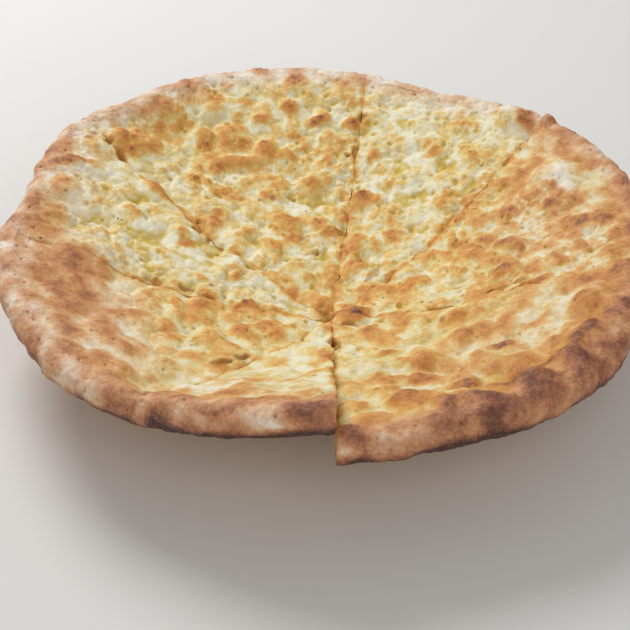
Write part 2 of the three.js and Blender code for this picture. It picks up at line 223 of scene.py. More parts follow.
# Browned places: x, y, length, width, turn, browning from 0 to 1 and over 1 where scorched.
BROWNED = [
    # back left
    (-99, 79, 30, 15, 20, 0.82), (-84, 108, 15, 12, 0, 0.62), (-66, 96, 13, 10, 0, 0.85),
    (-50, 98, 15, 12, 0, 0.62), (-30, 91, 19, 13, -20, 0.95), (-47, 82, 27, 9, 15, 0.85),
    (-60, 83, 9, 7, 0, 0.6), (-22, 120, 13, 7, 0, 0.6), (-36, 111, 11, 6, 0, 0.6),
    (-9, 113, 10, 6, 0, 0.92), (-17, 135, 20, 9, 0, 0.8), (3, 137, 13, 7, 0, 0.6),
    (-5, 77, 17, 11, 0, 0.72), (2, 85, 9, 8, 0, 0.7), (-20, 46, 18, 11, -30, 0.85),
    (-4, 46, 13, 12, 0, 0.92), (-84, 51, 21, 9, -45, 0.8), (-70, 43, 13, 7, -45, 0.7),
    (-72, 28, 15, 11, -40, 0.75), (-66, 19, 9, 8, 0, 0.85), (-44, 32, 11, 15, 0, 0.75),
    (-50, 62, 24, 11, 0, 0.6), (-66, 66, 15, 11, 0, 0.55), (-30, 64, 10, 7, 0, 0.55),
    (-91, 103, 17, 9, 40, 0.62), (-126, 46, 24, 8, 45, 1.3), (-134, 86, 20, 8, 60, 1.2),
    (-136, 10, 18, 9, 85, 0.85), (-124, 28, 17, 13, 0, 0.62), (-108, 5, 16, 9, 0, 0.62),
    (-78, 6, 13, 10, 0, 0.6), (-45, 5, 15, 11, 60, 0.62), (-10, 10, 9, 8, 0, 0.8),
    (-56, 42, 9, 15, 0, 0.6), (-118, 66, 9, 12, 0, 0.6), (-60, 111, 18, 9, 20, 0.52),
    (-45, 121, 22, 8, 10, 0.55), (-28, 20, 9, 8, 0, 0.5), (-20, 104, 14, 8, 0, 0.5),
    (-95, 30, 14, 9, 20, 0.5),
    # front left
    (-2, -12, 10, 13, 0, 0.88), (-36, -16, 7, 7, 0, 0.92), (-58, -7, 9, 10, 30, 0.62),
    (-26, -15, 11, 6, 0, 0.6), (-58, -24, 9, 8, 0, 0.6), (-82, -24, 12, 9, 0, 0.56),
    (-67, -30, 4, 13, 15, 0.8), (-40, -36, 11, 17, 0, 0.5), (-110, -30, 28, 22, 0, 0.6),
    (-128, -10, 22, 15, 70, 0.78), (-77, -56, 9, 13, -20, 0.6), (-66, -58, 10, 12, 0, 0.55),
    (-50, -58, 15, 22, 0, 0.6), (-90, -76, 22, 15, -40, 0.7), (-30, -100, 9, 15, 0, 0.7),
    (-34, -118, 15, 15, 0, 0.82), (-8, -145, 24, 10, 0, 1.2), (-65, -137, 13, 10, -25, 1.2),
    (-76, -132, 12, 8, -35, 0.85), (0, -68, 6, 20, 0, 0.7), (0, -30, 6, 11, 0, 0.7),
    (-18, -30, 9, 7, 0, 0.5), (-36, -140, 26, 9, 10, 0.8), (-104, -96, 24, 12, -48, 0.8),
    # back right
    (18, 64, 14, 11, 0, 0.8), (57, 59, 13, 13, 45, 0.85), (66, 57, 9, 9, 0, 0.7),
    (47, 99, 10, 8, 0, 0.72), (58, 107, 8, 5, 0, 0.42), (51, 90, 8, 7, 0, 0.52),
    (72, 83, 8, 10, 0, 0.52), (80, 76, 10, 8, 0, 0.5), (33, 75, 17, 11, 0, 0.46),
    (9, 112, 9, 7, 0, 0.75), (22, 93, 11, 8, 0, 0.5), (12, 34, 17, 10, 0, 0.8),
    (6, 43, 8, 7, 0, 0.5), (32, 40, 11, 9, 0, 0.7), (21, 33, 11, 9, 0, 0.7),
    # right
    (72, 42, 13, 11, 0, 0.7), (82, 42, 11, 9, 0, 0.66), (80, 53, 9, 11, 0, 0.7),
    (55, 32, 11, 9, 0, 0.52), (68, 15, 13, 10, 0, 0.95), (84, 16, 16, 12, 10, 0.95),
    (92, 6, 9, 8, 0, 0.88), (43, 4, 10, 10, 0, 0.7), (46, 14, 9, 7, 0, 0.5),
    (75, 27, 21, 11, 0, 0.5), (93, 60, 20, 9, 70, 0.62), (104, 37, 14, 9, 0, 0.72),
    (118, 37, 12, 9, 0, 0.68), (116, 18, 18, 15, 0, 0.95), (126, 14, 12, 10, 0, 0.75),
    (118, 65, 14, 5, -30, 0.8), (115, 85, 22, 8, -40, 0.62), (98, 100, 11, 13, -40, 0.65),
    (136, 4, 12, 10, 80, 0.8), (128, 52, 10, 12, 0, 0.5),
    # front right
    (12, -17, 16, 16, 0, 0.9), (82, -6, 14, 12, 0, 0.75), (75, -14, 15, 7, 0, 0.8),
    (66, -9, 9, 7, 0, 0.6), (91, -10, 9, 9, 0, 0.6), (96, -20, 11, 6, 20, 0.88),
    (33, -27, 9, 14, 0, 0.78), (20, -36, 8, 24, 0, 0.7), (60, -51, 15, 20, 0, 0.95),
    (77, -46, 10, 16, 0, 0.75), (114, -36, 30, 24, 0, 0.8), (108, -50, 12, 11, 0, 0.88),
    (120, -48, 12, 10, 60, 0.9), (90, -52, 11, 9, 0, 0.7), (45, -72, 20, 19, 0, 0.88),
    (75, -67, 15, 9, 20, 1.1), (73, -84, 25, 22, 0, 0.78), (20, -88, 26, 10, 0, 0.75),
    (40, -89, 14, 12, 0, 1), (57, -99, 13, 17, 0, 0.95), (52, -121, 22, 15, 0, 0.75),
    (34, -114, 22, 16, 0, 0.78), (56, -33, 12, 12, 0, 0.75), (68, -128, 24, 20, 25, 1.0),
    (85, -112, 22, 20, 40, 1.0), (100, -97, 18, 18, 40, 1.0), (107, -79, 22, 16, 55, 0.9),
    (122, -61, 18, 14, 62, 0.95), (134, -31, 20, 14, 75, 0.9), (20, -60, 24, 6, 15, 0.6),
    (34, -73, 16, 6, -50, 0.6),
]
# An edge gives where a place begins to fade and where it ends, in half lengths from its middle.
BROWNED_EDGE = (0.25, 1.6)
BROWNED_SHARE = 0.93
RAGGED_EDGES = [(1.5, 8, 61), (0.8, 2.7, 62)]  # how far edges are moved, size and seed
RAGGED_SEED_ACROSS = 2  # added to the seed for the move along y
# Painted shade along the cuts: the crust beside each is browned a little, standing in for the
# crevice's shadow.
PAINTED_CUT_SHADE = 0.36  # added at a cut
PAINTED_CUT_SHADE_REACH = 1.3

# Small caramel and scorched spots: x, y, length, width, turn, strength.
CARAMEL = [
    (-53, -8, 3, 2.5, 0, 1), (-13, -100, 3.5, 2.5, 0, 1), (-4, -98, 2.5, 2, 0, 0.8),
    (93, -25, 2.5, 5, 20, 1), (51, -33, 2.5, 6, 15, 1), (36, -98, 4, 3, 0, 0.9),
    (102, -6, 3, 8, 10, 0.9), (104, -36, 3, 9, 0, 0.8), (70, 62, 5, 3.5, 0, 0.9),
    (58, 66, 3, 5, 35, 0.9), (66, 71, 3, 2.5, 0, 0.8), (-28, 63, 3, 3, 0, 1),
    (-21, 66, 3, 2.5, 0, 1), (-35, 60, 2.5, 2.5, 0, 0.8), (109, 99, 10, 8, 40, 0.8),
    (11, 65, 3, 4, 0, 0.7), (-112, 38, 3, 2.5, 0, 0.8), (-118, 74, 5, 3, 0, 0.9),
    (-120, 70, 4, 3, 30, 0.9), (28, 14, 3, 2.5, 0, 0.8), (112, 24, 3, 3, 0, 0.9),
    (-92, 2, 3, 2.5, 0, 0.8), (-86, -4, 2.5, 2, 0, 0.8), (-10, 28, 3, 2.5, 0, 0.8),
    (-44, -76, 9, 4, 40, 0.8), (-35, -66, 7, 4, 45, 0.7), (85, -22, 14, 3.5, 5, 0.8),
    (48, -15, 3, 2.5, 0, 0.8),
]
CARAMEL_EDGE = (0.3, 1.5)

# Places where the crust is smoother: x, y, length, width, turn, how far.
SMOOTH_PLACES = [
    (122, 62, 110, 50, 115, 0.9), (-128, 40, 90, 34, 70, 0.6), (0, 138, 150, 22, 0, 0.5),
    (-30, -96, 80, 70, 0, 0.9), (-116, -50, 56, 130, 22, 0.9),
    (-100, 40, 70, 60, -20, 0.35), (-50, 100, 110, 70, 0, 0.25),
]
SMOOTH_EDGE = (0.4, 1.4)
IN_FRONT = (0, 40)  # from craggy to broad soft lumps between these distances in front of y = 0
CRAGGY_ON_RIM = 0.45
CRAGGY_LOSS = 0.65  # where the crust is smooth
LUMPY_ON_RIM = 0.25
LUMPY_LOSS = 0.75
UNDERSIDE_GRAIN = 0.5

# Broad golden places between the browned ones: x, y, length, width, turn, browning.
GOLDEN_HAZE = [
    (-52, 92, 150, 84, 15, 0.34), (-118, 20, 60, 110, -15, 0.34), (-30, 40, 56, 40, -30, 0.34),
    (-70, 45, 60, 40, -45, 0.32), (-112, -40, 76, 130, 25, 0.46), (-45, -26, 84, 44, -20, 0.44),
    (-60, -62, 60, 44, -20, 0.34), (104, 20, 74, 120, 0, 0.38), (70, 30, 50, 50, 0, 0.36),
    (76, -40, 100, 60, 0, 0.42), (60, -92, 150, 60, 25, 0.4), (26, -34, 44, 44, 0, 0.42),
    (-124, -58, 44, 130, 22, 0.6), (20, 44, 44, 40, 0, 0.28), (70, 84, 50, 40, -40, 0.2),
    (118, 84, 44, 50, 40, 0.42),
    (-30, -126, 90, 30, 8, 0.34), (10, 4, 70, 44, 0, 0.5), (-24, -84, 56, 60, -20, 0.26),
]
HAZE_EDGE = (0.3, 1.4)
HAZE_SHARE = 0.8
PALE_BROWNING = 0.12  # where there is no haze
HAZE_LEAST = 0.1  # of the haze, between its patches
HAZE_PATCHES = [(0.75, (0.5, (0.5, 12, 72))), (0.55, (0.5, (0.5, 5, 75)))]  # share, unevenness
CRAG_TOPS = (0.3, 0.95)
CRAG_TOP_BROWNING = 0.12

# Browning of the rim: bearing, half width, by how much it leaves RIM_BROWNING.
RIM_BROWNING = 0.5
RIM_BROWNING_BY = [
    (250, 45, 0.2), (308, 50, 0.42), (350, 34, 0.24), (68, 34, -0.2), (180, 60, 0.16),
    (12, 20, 0.08),
]
# Where the browning of the rim begins: bearing, half width, by how much it leaves RIM_BROWN_FROM.
RIM_BROWN_FROM = 142
RIM_BROWN_FROM_BY = [(200, 50, -32), (255, 40, -10), (312, 44, -20), (0, 40, -15)]
RIM_BROWN_EDGE = (-12, 8)  # inside and outside of where it begins
RIM_BROWN_WANDER = (5, 19, 73)  # how far that edge wanders, size and seed
RIM_MOTTLE = ((0.16, 15, 74), (0.1, 6, 76))

# Places inside the rim that browned as evenly and rosily as it: x, y, length, width, turn, how far.
ROSY_PLACES = [
    (-114, -58, 84, 150, 25, 0.72), (118, 88, 50, 60, 40, 0.6), (-130, 30, 44, 90, -12, 0.5),
    (112, 26, 80, 110, 0, 0.4), (84, -60, 130, 60, 35, 0.3), (-40, -110, 90, 50, -10, 0.3),
]
ROSY_EDGE = (0.4, 1.3)

# How much darker the rim's lower edge and the underside next to it are, partly baked browner
# and partly painted shade, most on the near side: bearing, half width, by how much.
LOWER_EDGE_BROWNING_AND_SHADE = [(215, 60, 0.4), (270, 60, 0.75), (325, 60, 0.7), (20, 60, 0.2)]
LOWER_EDGE_ANGLES = (-20, 40)  # below level, on the round of the rim
LOWER_EDGE_INNER = 112  # how far in the underside is darkened by it
LOWER_EDGE_MOTTLE = (1, (0.35, 7, 97))
UNDERNEATH = (0.72, (0.3, 24, 95), (0.12, 7, 96))  # browning of the underside
TURNS_UNDER = (0.2, 0.9)  # how far down the rim faces where its finish turns to the underside's

# Browning of the cut faces: in the crumb, more at the crust, and more again inside the rim,
# there partly baked browner and partly painted shade.
CRUMB_BROWNING = 0.22
CRUMB_EDGE_BROWNING = 0.4
RIM_CRUMB_BROWNING_AND_SHADE = 0.4
BAKED_THROUGH_FROM = (0.86, 0.97)  # of the bread's radius
CRUMB_HOLLOWS_FROM = (0.3, 1.6)  # distance from the crust

# Floury places: x, y, length, width, turn, strength.
FLOURED = [
    (-138, -34, 24, 60, 10, 0.8), (-122, -76, 24, 50, 40, 0.65), (-98, -112, 18, 40, 50, 0.45),
    (-146, 14, 14, 60, 0, 0.55), (-70, -138, 60, 14, -25, 0.35), (-138, 66, 12, 40, -25, 0.3),
    (-118, 14, 14, 30, 70, 0.4), (106, 55, 20, 13, -20, 1), (112, 48, 10, 22, 15, 0.9),
    (110, -42, 24, 8, 25, 0.5), (60, -118, 20, 5, 25, 0.4), (-66, -84, 22, 9, 20, 0.5),
    (0, 148, 60, 8, 0, 0.35), (-92, 88, 16, 12, 0, 0.3),
]
FLOURED_EDGE = (0.3, 1.5)
FLOUR_CLOUDS = (0.55, (0.45, 5.5, 81))
FLOUR_PALES = 0.9  # share of the haze that flour takes away
FLOUR_PALES_EDGE = (0.5, 1.4)

# Dark specks: x, y.
SPECKS = [
    (8, 93), (71, 49), (-65, 32), (-100, 21), (-98, 21), (-129, -15), (26, -4), (-64, 38),
    (94, 82), (-12, 57),
]
SPECK_SIZE = 1.3
SPECK_EDGE = (0.5, 1.2)

# ---------------------------------------------------------------- noise, the same as the solids'


def smoothstep(value, low, high):
    share = np.clip((value - low) / (high - low), 0, 1)
    return share * share * (3 - 2 * share)


def lerp(start, end, share):
    return start + (end - start) * share


def chance(column, row, seed):
    """A fixed number from 0 to 1 for each whole pair of coordinates."""
    whole = np.uint64(0xFFFFFFFF)
    column = np.asarray(column, np.int64).astype(np.uint64) & whole
    row = np.asarray(row, np.int64).astype(np.uint64) & whole
    mixed = column * np.uint64(374761393) + row * np.uint64(668265263)
    bits = (mixed + np.uint64(seed) * np.uint64(1013904223)) & whole
    bits = ((bits ^ (bits >> np.uint64(13))) * np.uint64(1274126177)) & whole
    return (bits ^ (bits >> np.uint64(16))).astype(float) / 4294967296


def wander(along, size, seed):
    """Smooth noise from -1 to 1 along one coordinate."""
    place = along / size
    step = np.floor(place)
    ease = smoothstep(place - step, 0, 1)
    return 2 * lerp(chance(step, 0, seed), chance(step + 1, 0, seed), ease) - 1


def patches(x, y, size, seed):
    """Smooth noise from -1 to 1 over the plane."""
    column = np.floor(x / size)
    row = np.floor(y / size)
    ease_x = smoothstep(x / size - column, 0, 1)
    ease_y = smoothstep(y / size - row, 0, 1)
    near = lerp(chance(column, row, seed), chance(column + 1, row, seed), ease_x)
    far = lerp(chance(column, row + 1, seed), chance(column + 1, row + 1, seed), ease_x)
    return 2 * lerp(near, far, ease_y) - 1


def lumps(x, y, size, seed):
    """Rounded lumps: 1 on top of a lump, 0 in the clefts."""
    column = np.floor(x / size)
    row = np.floor(y / size)
    nearest = np.full(np.shape(x), 2.0)
    for i in (-1, 0, 1):
        for j in (-1, 0, 1):
            middle_x = column + i + 0.15 + 0.7 * chance(column + i, row + j, seed)
            middle_y = row + j + 0.15 + 0.7 * chance(column + i, row + j, seed + 1)
            nearest = np.minimum(nearest, np.hypot(x / size - middle_x, y / size - middle_y))
    return np.clip(1 - 1.5 * nearest * nearest, 0, 1)


# ---------------------------------------------------------------- form of the bread


def bulge_sum(bearing, bulges):
    """Sum of raised cosines at a bearing."""
    total = np.zeros(np.shape(bearing))
    for at, half, by in bulges:
        apart = np.abs(np.mod(bearing - at + 180, 360) - 180)
        total += np.where(apart < half, by * 0.5 * (1 + np.cos(np.pi * apart / half)), 0)
    return total


def ellipse_out(x, y, place):
    """The square of how far out points lie on a turned ellipse, 1 at its edge."""
    at_x, at_y, length, width, turn = place[:5]
    cos, sin = math.cos(math.radians(turn)), math.sin(math.radians(turn))
    along = ((x - at_x) * cos + (y - at_y) * sin) / (length / 2)
    across = ((y - at_y) * cos - (x - at_x) * sin) / (width / 2)
    return along * along + across * across


DOME_REACH = 3.5  # half lengths past which a dome isn't felt
PLACE_REACH = 1.8  # and past which a place isn't


def near_points(x, y, place, reach):
    """Numbers of the points within so many of a place's half lengths or half widths."""
    limit = reach * max(place[2], place[3]) / 2
    return np.flatnonzero((np.abs(x - place[0]) < limit) & (np.abs(y - place[1]) < limit))


def dome_sum(x, y, domes, steepness):
    """Sum of smooth domes on ellipses, the flatter on top the steeper their sides."""
    total = np.zeros(np.shape(x))
    for dome in domes:
        near = near_points(x, y, dome, DOME_REACH)
        total[near] += dome[5] * np.exp(-ellipse_out(x[near], y[near], dome) ** steepness)
    return total


def warped(x, y, by, size, seed):
    """Points moved by noise, so that what lies on them comes out uneven."""
    return x + by * patches(x, y, size, seed), y + by * patches(x, y, size, seed + 1)


def uneven(x, y, level, *swings):
    """A level with noises added: by how much, size and seed of each."""
    for by, size, seed in swings:
        level = level + by * patches(x, y, size, seed)
    return level


def bearing_of(x, y):
    return np.degrees(np.arctan2(y, x))


def even_radius(x, y):
    """Distance from the middle as if the outline were the mean circle."""
    outline = BREAD_RADIUS + bulge_sum(bearing_of(x, y), OUTLINE_BULGES)
    return np.hypot(x, y) * BREAD_RADIUS / outline


def rim_sag(x, y):
    share = even_radius(x, y) / CREST_RADIUS
    return bulge_sum(bearing_of(x, y), RIM_SAGS) * share ** 2


def rim_out(angle):
    return CREST_RADIUS + RIM_ROUND * np.cos(np.radians(angle))


def rim_up(angle):
    return RIM_HEIGHT + RIM_ROUND * np.sin(np.radians(angle))


def inward_of_rim(x, y):
    """1 inside the rim, 0 from its crest outwards."""
    return 1 - smoothstep(even_radius(x, y), CREST_RADIUS - RIM_BLEND, CREST_RADIUS)


def craggy_share(y):
    return lerp(SOFT_SHARE, 1, smoothstep(y, *CRAGGY_BEHIND))


def crag_lumps(x, y):
    return lumps(*warped(x, y, CRAG_WARP_BY, *CRAG_WARP), *CRAGS)


def hole_depth(x, y):
    moved = warped(x, y, HOLE_WARP_BY, *HOLE_WARP)
    return HOLE_SHARE * dome_sum(*moved, HOLES, HOLE_STEEPNESS)


def top_relief(x, y):
    inward = inward_of_rim(x, y)
    crag_relief = CRAG_HEIGHT * craggy_share(y) * (crag_lumps(x, y) - CRAG_LEVEL)
    domes = dome_sum(x, y, BLISTERS + NUBBLES, BLISTER_STEEPNESS) * lerp(DOMES_ON_RIM, 1, inward)
    return (dome_sum(x, y, SWELLS, 1) + crag_relief) * inward + domes - hole_depth(x, y)


def top_height(x, y):
    share = even_radius(x, y) / rim_out(RIM_ARC[0])
    dish = (rim_up(RIM_ARC[0]) - MIDDLE_THICKNESS) * share ** DISH_POWER
    return MIDDLE_THICKNESS + dish + rim_sag(x, y)


def underside_height(x, y):
    flat = even_radius(x, y) - RESTING_RADIUS
    share = np.clip(flat / (rim_out(RIM_ARC[1]) - RESTING_RADIUS), 0, None)
    return (rim_up(RIM_ARC[1]) + rim_sag(x, y)) * share ** UNDERSIDE_POWER


def reach_along(tip, bearing, radius):
    """How far along rays from a slice's tip the even radius reaches a value."""
    near = np.zeros(np.shape(bearing))
    far = np.full(np.shape(bearing), 2.0 * BREAD_RADIUS)
    cos, sin = np.cos(np.radians(bearing)), np.sin(np.radians(bearing))
    for _ in range(40):
        middle = (near + far) / 2
        within = even_radius(tip[0] + middle * cos, tip[1] + middle * sin) < radius
        near = np.where(within, middle, near)
        far = np.where(within, far, middle)
    return near


def cut_seed(cut_bearing):
    return CUT_WANDER[1] + math.floor(cut_bearing % 360 + 0.5)


def along_stretch(sway, distance, begins, ends):
    """A sway that grows over the first span of distances and dies away over the second."""
    return sway * smoothstep(distance, *begins) * (1 - smoothstep(distance, *ends))


def knife_wander(cut_bearing, distance):
    sway = KERF_WAVE * wander(distance, CUT_WANDER[0], cut_seed(cut_bearing))
    return along_stretch(sway, distance, KNIFE_WANDERS_FROM, KNIFE_WANDERS_TO)


def torn_line(cut_bearing, distance):
    """The crust tears along its lumps, a little to either side of the knife's line."""
    sway = TORN_BY * wander(distance, TORN_SIZE, cut_seed(cut_bearing) + TORN_SEED)
    return along_stretch(sway, distance, TORN_FROM, TORN_TO)


def crust_closing(cut_bearing, distance):
    """How far the crust has closed over a cut, alike for the slices on both sides."""
    widest = 1 if cut_bearing in OPEN_CUTS else NARROW_GAP
    along = distance + wander(distance, GAP_WANDER, cut_seed(cut_bearing) + GAP_SEED)
    apart = np.zeros(np.shape(distance))
    # The last slice names the first slice's cut by its bearing and a full turn.
    for at, half in CUT_GAPS.get(cut_bearing) or CUT_GAPS[cut_bearing - 360]:
        out = np.abs(along - at) / half
        apart = np.maximum(apart, widest * (1 - smoothstep(out, *GAP_EDGE)))
    return 1 - apart


# ---------------------------------------------------------------- colour of the bread


def ragged(x, y):
    """Points moved a little, so that the edges of coloured places come out ragged."""
    moved_x, moved_y = x, y
    for by, size, seed in RAGGED_EDGES:
        moved_x = moved_x + by * patches(x, y, size, seed)
        moved_y = moved_y + by * patches(x, y, size, seed + RAGGED_SEED_ACROSS)
    return moved_x, moved_y


def place_strength(x, y, places, edge):
    """The strongest of the places at each point, fading out across its edge."""
    strongest = np.zeros(np.shape(x))
    for place in places:
        near = near_points(x, y, place, PLACE_REACH)
        out = np.sqrt(ellipse_out(x[near], y[near], place))
        strength = place[5] * (1 - smoothstep(out, *edge))
        strongest[near] = np.maximum(strongest[near], strength)
    return strongest


def haze_browning(x, y, moved):
    """The patchy golden haze between the browned places, with the crags' tops a little browner."""
    haze = place_strength(*moved, GOLDEN_HAZE, HAZE_EDGE)
    haze = haze * (1 - FLOUR_PALES * place_strength(*moved, FLOURED, FLOUR_PALES_EDGE))
    patchy = HAZE_LEAST
    for share, unevenness in HAZE_PATCHES:
        patchy = patchy + share * uneven(x, y, *unevenness)
    crag_top = smoothstep(crag_lumps(x, y), *CRAG_TOPS) * craggy_share(y)
    return (PALE_BROWNING + HAZE_SHARE * haze) * patchy + CRAG_TOP_BROWNING * crag_top


def rim_browning(x, y, moved):
    bearing = bearing_of(x, y)
    begins = RIM_BROWN_FROM + bulge_sum(bearing, RIM_BROWN_FROM_BY)
    out = uneven(x, y, even_radius(*moved), RIM_BROWN_WANDER)
    level = RIM_BROWNING + bulge_sum(bearing, RIM_BROWNING_BY)
    inside, outside = RIM_BROWN_EDGE
    rim = uneven(x, y, level, *RIM_MOTTLE) * smoothstep(out, begins + inside, begins + outside)
    return np.clip(rim, 0, None)


def browning_at(x, y):
    """0 where the dough stayed pale, 1 where it is brown, more where it is scorched."""
    moved = ragged(x, y)
    spots = BROWNED_SHARE * place_strength(*moved, BROWNED, BROWNED_EDGE)
    kinds = [spots, haze_browning(x, y, moved), rim_browning(x, y, moved)]
    # The browner kind wins, without an edge where one takes over from another.
    return sum(kind ** 3 for kind in kinds) ** (1 / 3)


def flour_at(x, y):
    cloudy = np.clip(uneven(x, y, *FLOUR_CLOUDS), 0, 1)
    return place_strength(*ragged(x, y), FLOURED, FLOURED_EDGE) * cloudy


def speck_at(x, y):
    specks = [(at_x, at_y, SPECK_SIZE, SPECK_SIZE, 0, 1) for at_x, at_y in SPECKS]
    return place_strength(x, y, specks, SPECK_EDGE)


# ---------------------------------------------------------------- slices as fine meshes

TOP, RIM, UNDERSIDE = 0, 1, 2


def slice_tip(first_cut, second_cut):
    """The tip lies in from the cut centre by half a kerf from both cuts."""
    middle = math.radians((first_cut + second_cut) / 2)
    inward = (KERF / 2) / math.sin(math.radians((second_cut - first_cut) / 2))
    return CUT_CENTRE[0] + inward * math.cos(middle), CUT_CENTRE[1] + inward * math.sin(middle)


def stride_at(out_share):
    """Rows nearer the tip take only every so many of the points that the rim has."""
    if out_share < 0.25:
        return COARSEST
    return COARSEST // 2 if out_share < 0.5 else 1


def plan_rows(tip, first_cut, second_cut):
    """Rows of points from the tip out over the rim and back below, and how many are above.

    A row is its side, the points' shares across the slice and distances from the tip, how far out
    along the slice it counts as, and its angle on the round of the rim.
    """
    span = second_cut - first_cut
    cell = max(FINEST_CELL, CELL_PER_ROOT_DEGREE * math.sqrt(span))
    columns = COARSEST * round(math.radians(span) * BREAD_RADIUS / cell / COARSEST)
    top_rows = COARSEST * round(CREST_RADIUS / cell / COARSEST)
    upper_turns = 2 * round(math.pi / 2 * RIM_ROUND / cell / 2)
    # Below, there are half as many rows and points.
    lower_turns = upper_turns // 2
    under_rows = top_rows // 2
    shares = np.linspace(0, 1, columns + 1)
    bearings = first_cut + shares * span
    reach_top = reach_along(tip, bearings, rim_out(RIM_ARC[0]))
    reach_under = reach_along(tip, bearings, rim_out(RIM_ARC[1]))
    rows = []

    def add_tip(side, angle):
        rows.append((side, np.array([0.5]), np.zeros(1), 0.0, angle))

    def add(side, stride, distance, out_share, angle):
        rows.append((side, shares[::stride], distance[::stride], out_share, angle))

    def add_turn(stride, angle):
        add(RIM, stride, reach_along(tip, bearings, rim_out(angle)), 1.0, angle)

    add_tip(TOP, 90.0)
    for row in range(1, top_rows + 1):
        out_share = row / top_rows
        add(TOP, stride_at(out_share), reach_top * out_share, out_share, RIM_ARC[0])
    middle_angle = (RIM_ARC[0] + RIM_ARC[1]) / 2
    for turn in range(1, upper_turns + 1):
        add_turn(1, lerp(RIM_ARC[0], middle_angle, turn / upper_turns))
    for turn in range(1, lower_turns + 1):
        add_turn(2, lerp(middle_angle, RIM_ARC[1], turn / lower_turns))
    for row in range(under_rows - 1, 0, -1):
        out_share = row / under_rows
        add(UNDERSIDE, 2 * stride_at(out_share), reach_under * out_share, out_share, RIM_ARC[1])
    add_tip(UNDERSIDE, -90.0)
    return rows, top_rows + upper_turns


def spread_rows(rows):
    """The points of all rows, with one array for each value."""
    lengths = [len(row[1]) for row in rows]
    return SimpleNamespace(
        side=np.repeat([row[0] for row in rows], lengths),
        share=np.concatenate([row[1] for row in rows]),
        distance=np.concatenate([row[2] for row in rows]),
        out_share=np.repeat([row[3] for row in rows], lengths),
        angle=np.repeat([row[4] for row in rows], lengths),
    )


def place_points(at, tip, first_cut, second_cut):
    """Adds where the points lie seen from above, and how near and how closed the cuts are."""
    span = second_cut - first_cut
    at.bearing = first_cut + at.share * span
    # The rim's lumps stand further out where it faces out.
    along_rim = np.radians(np.mod(at.bearing, 360)) * BREAD_RADIUS
    lump = RIM_LUMP_HEIGHT * wander(along_rim, *RIM_LUMPS)
    facing_out = np.cos(np.radians(at.angle))
    distance = at.distance + np.where(at.side == RIM, lump * facing_out, 0)

    to_first = distance * np.radians(span) * at.share
    to_second = distance * np.radians(span) * (1 - at.share)
    at.to_cut = np.minimum(to_first, to_second)
    first_closed = crust_closing(first_cut, distance) * np.exp(-to_first / CLOSING_REACH)
    second_closed = crust_closing(second_cut, distance) * np.exp(-to_second / CLOSING_REACH)
    at.closed = np.maximum(first_closed, second_closed)

    # Both slices beside a cut follow the same knife line and, on the crust, the same tears.
    knife = lerp(knife_wander(first_cut, distance), knife_wander(second_cut, distance), at.share)
    at_tip = 1 - smoothstep(distance, *TIP_MEETS)
    spread = KERF / 2 * (second_closed * at.share - first_closed * (1 - at.share)) * (1 - at_tip)
    torn = torn_line(first_cut, distance) * np.exp(-to_first / TORN_REACH)
    torn = torn + torn_line(second_cut, distance) * np.exp(-to_second / TORN_REACH)
    over_rim = smoothstep(at.angle, *OVER_RIM)
    on_crust = np.select([at.side == TOP, at.side == RIM], [1, over_rim], 0)
    sideways = knife + (spread + torn) * on_crust

    # The tips of the crust meet in the middle.
    drawn_in = at_tip * (at.side == TOP)
    cos, sin = np.cos(np.radians(at.bearing)), np.sin(np.radians(at.bearing))
    at.x = tip[0] + drawn_in * (CUT_CENTRE[0] - tip[0]) + distance * cos - sideways * sin
    at.y = tip[1] + drawn_in * (CUT_CENTRE[1] - tip[1]) + distance * sin + sideways * cos


def raise_points(at, lift_first, lift_second):
    """Adds the points' heights."""
    x, y = at.x, at.y
    facing_up = np.clip(np.sin(np.radians(at.angle)), 0, 1)
    relief = top_relief(x, y)
    z = np.select(
        [at.side == TOP, at.side == RIM],
        [top_height(x, y) + relief, rim_up(at.angle) + rim_sag(x, y) + relief * facing_up],
        underside_height(x, y),
    )
    # The knife rounds and crumbles the crust's edge a little where the cut is open.
    crumbled = uneven(x, y, *CRUMBLED) * (1 - at.closed)
    crumbled = crumbled * CRUMBLED_DEPTH * np.exp(-at.to_cut / CRUMBLED_REACH) * facing_up
    z = z - np.where(at.side == UNDERSIDE, 0, crumbled)
    # Where the crust has closed over a cut, a crevice stays.
    crevice = uneven(x, y, *CREVICE) * np.exp(-at.to_cut / CREVICE_REACH)
    crevice = crevice * lerp(CREVICE_ON_RIM, 1, inward_of_rim(x, y))
    z = z - np.where(at.side == TOP, CREVICE_DEPTH * crevice, 0)
    at.z = z + lerp(lift_first, lift_second, at.share) * at.out_share


def relief_way(at):
    """The way in which fine relief lifts the surface: up on the top, out round the rim."""
    flat = np.stack([at.x, at.y, np.zeros_like(at.x)], 1)
    radial = flat / np.maximum(np.hypot(at.x, at.y), 1)[:, None]
    out = even_radius(at.x, at.y)
    near_rim = smoothstep(out, CREST_RADIUS - RIM_BLEND, rim_out(RIM_ARC[0]))
    angles = [at.angle, lerp(90, RIM_ARC[0], near_rim)]
    slope = np.radians(np.select([at.side == RIM, at.side == TOP], angles, -90))[:, None]
    return radial * np.cos(slope) + np.array([0, 0, 1]) * np.sin(slope)


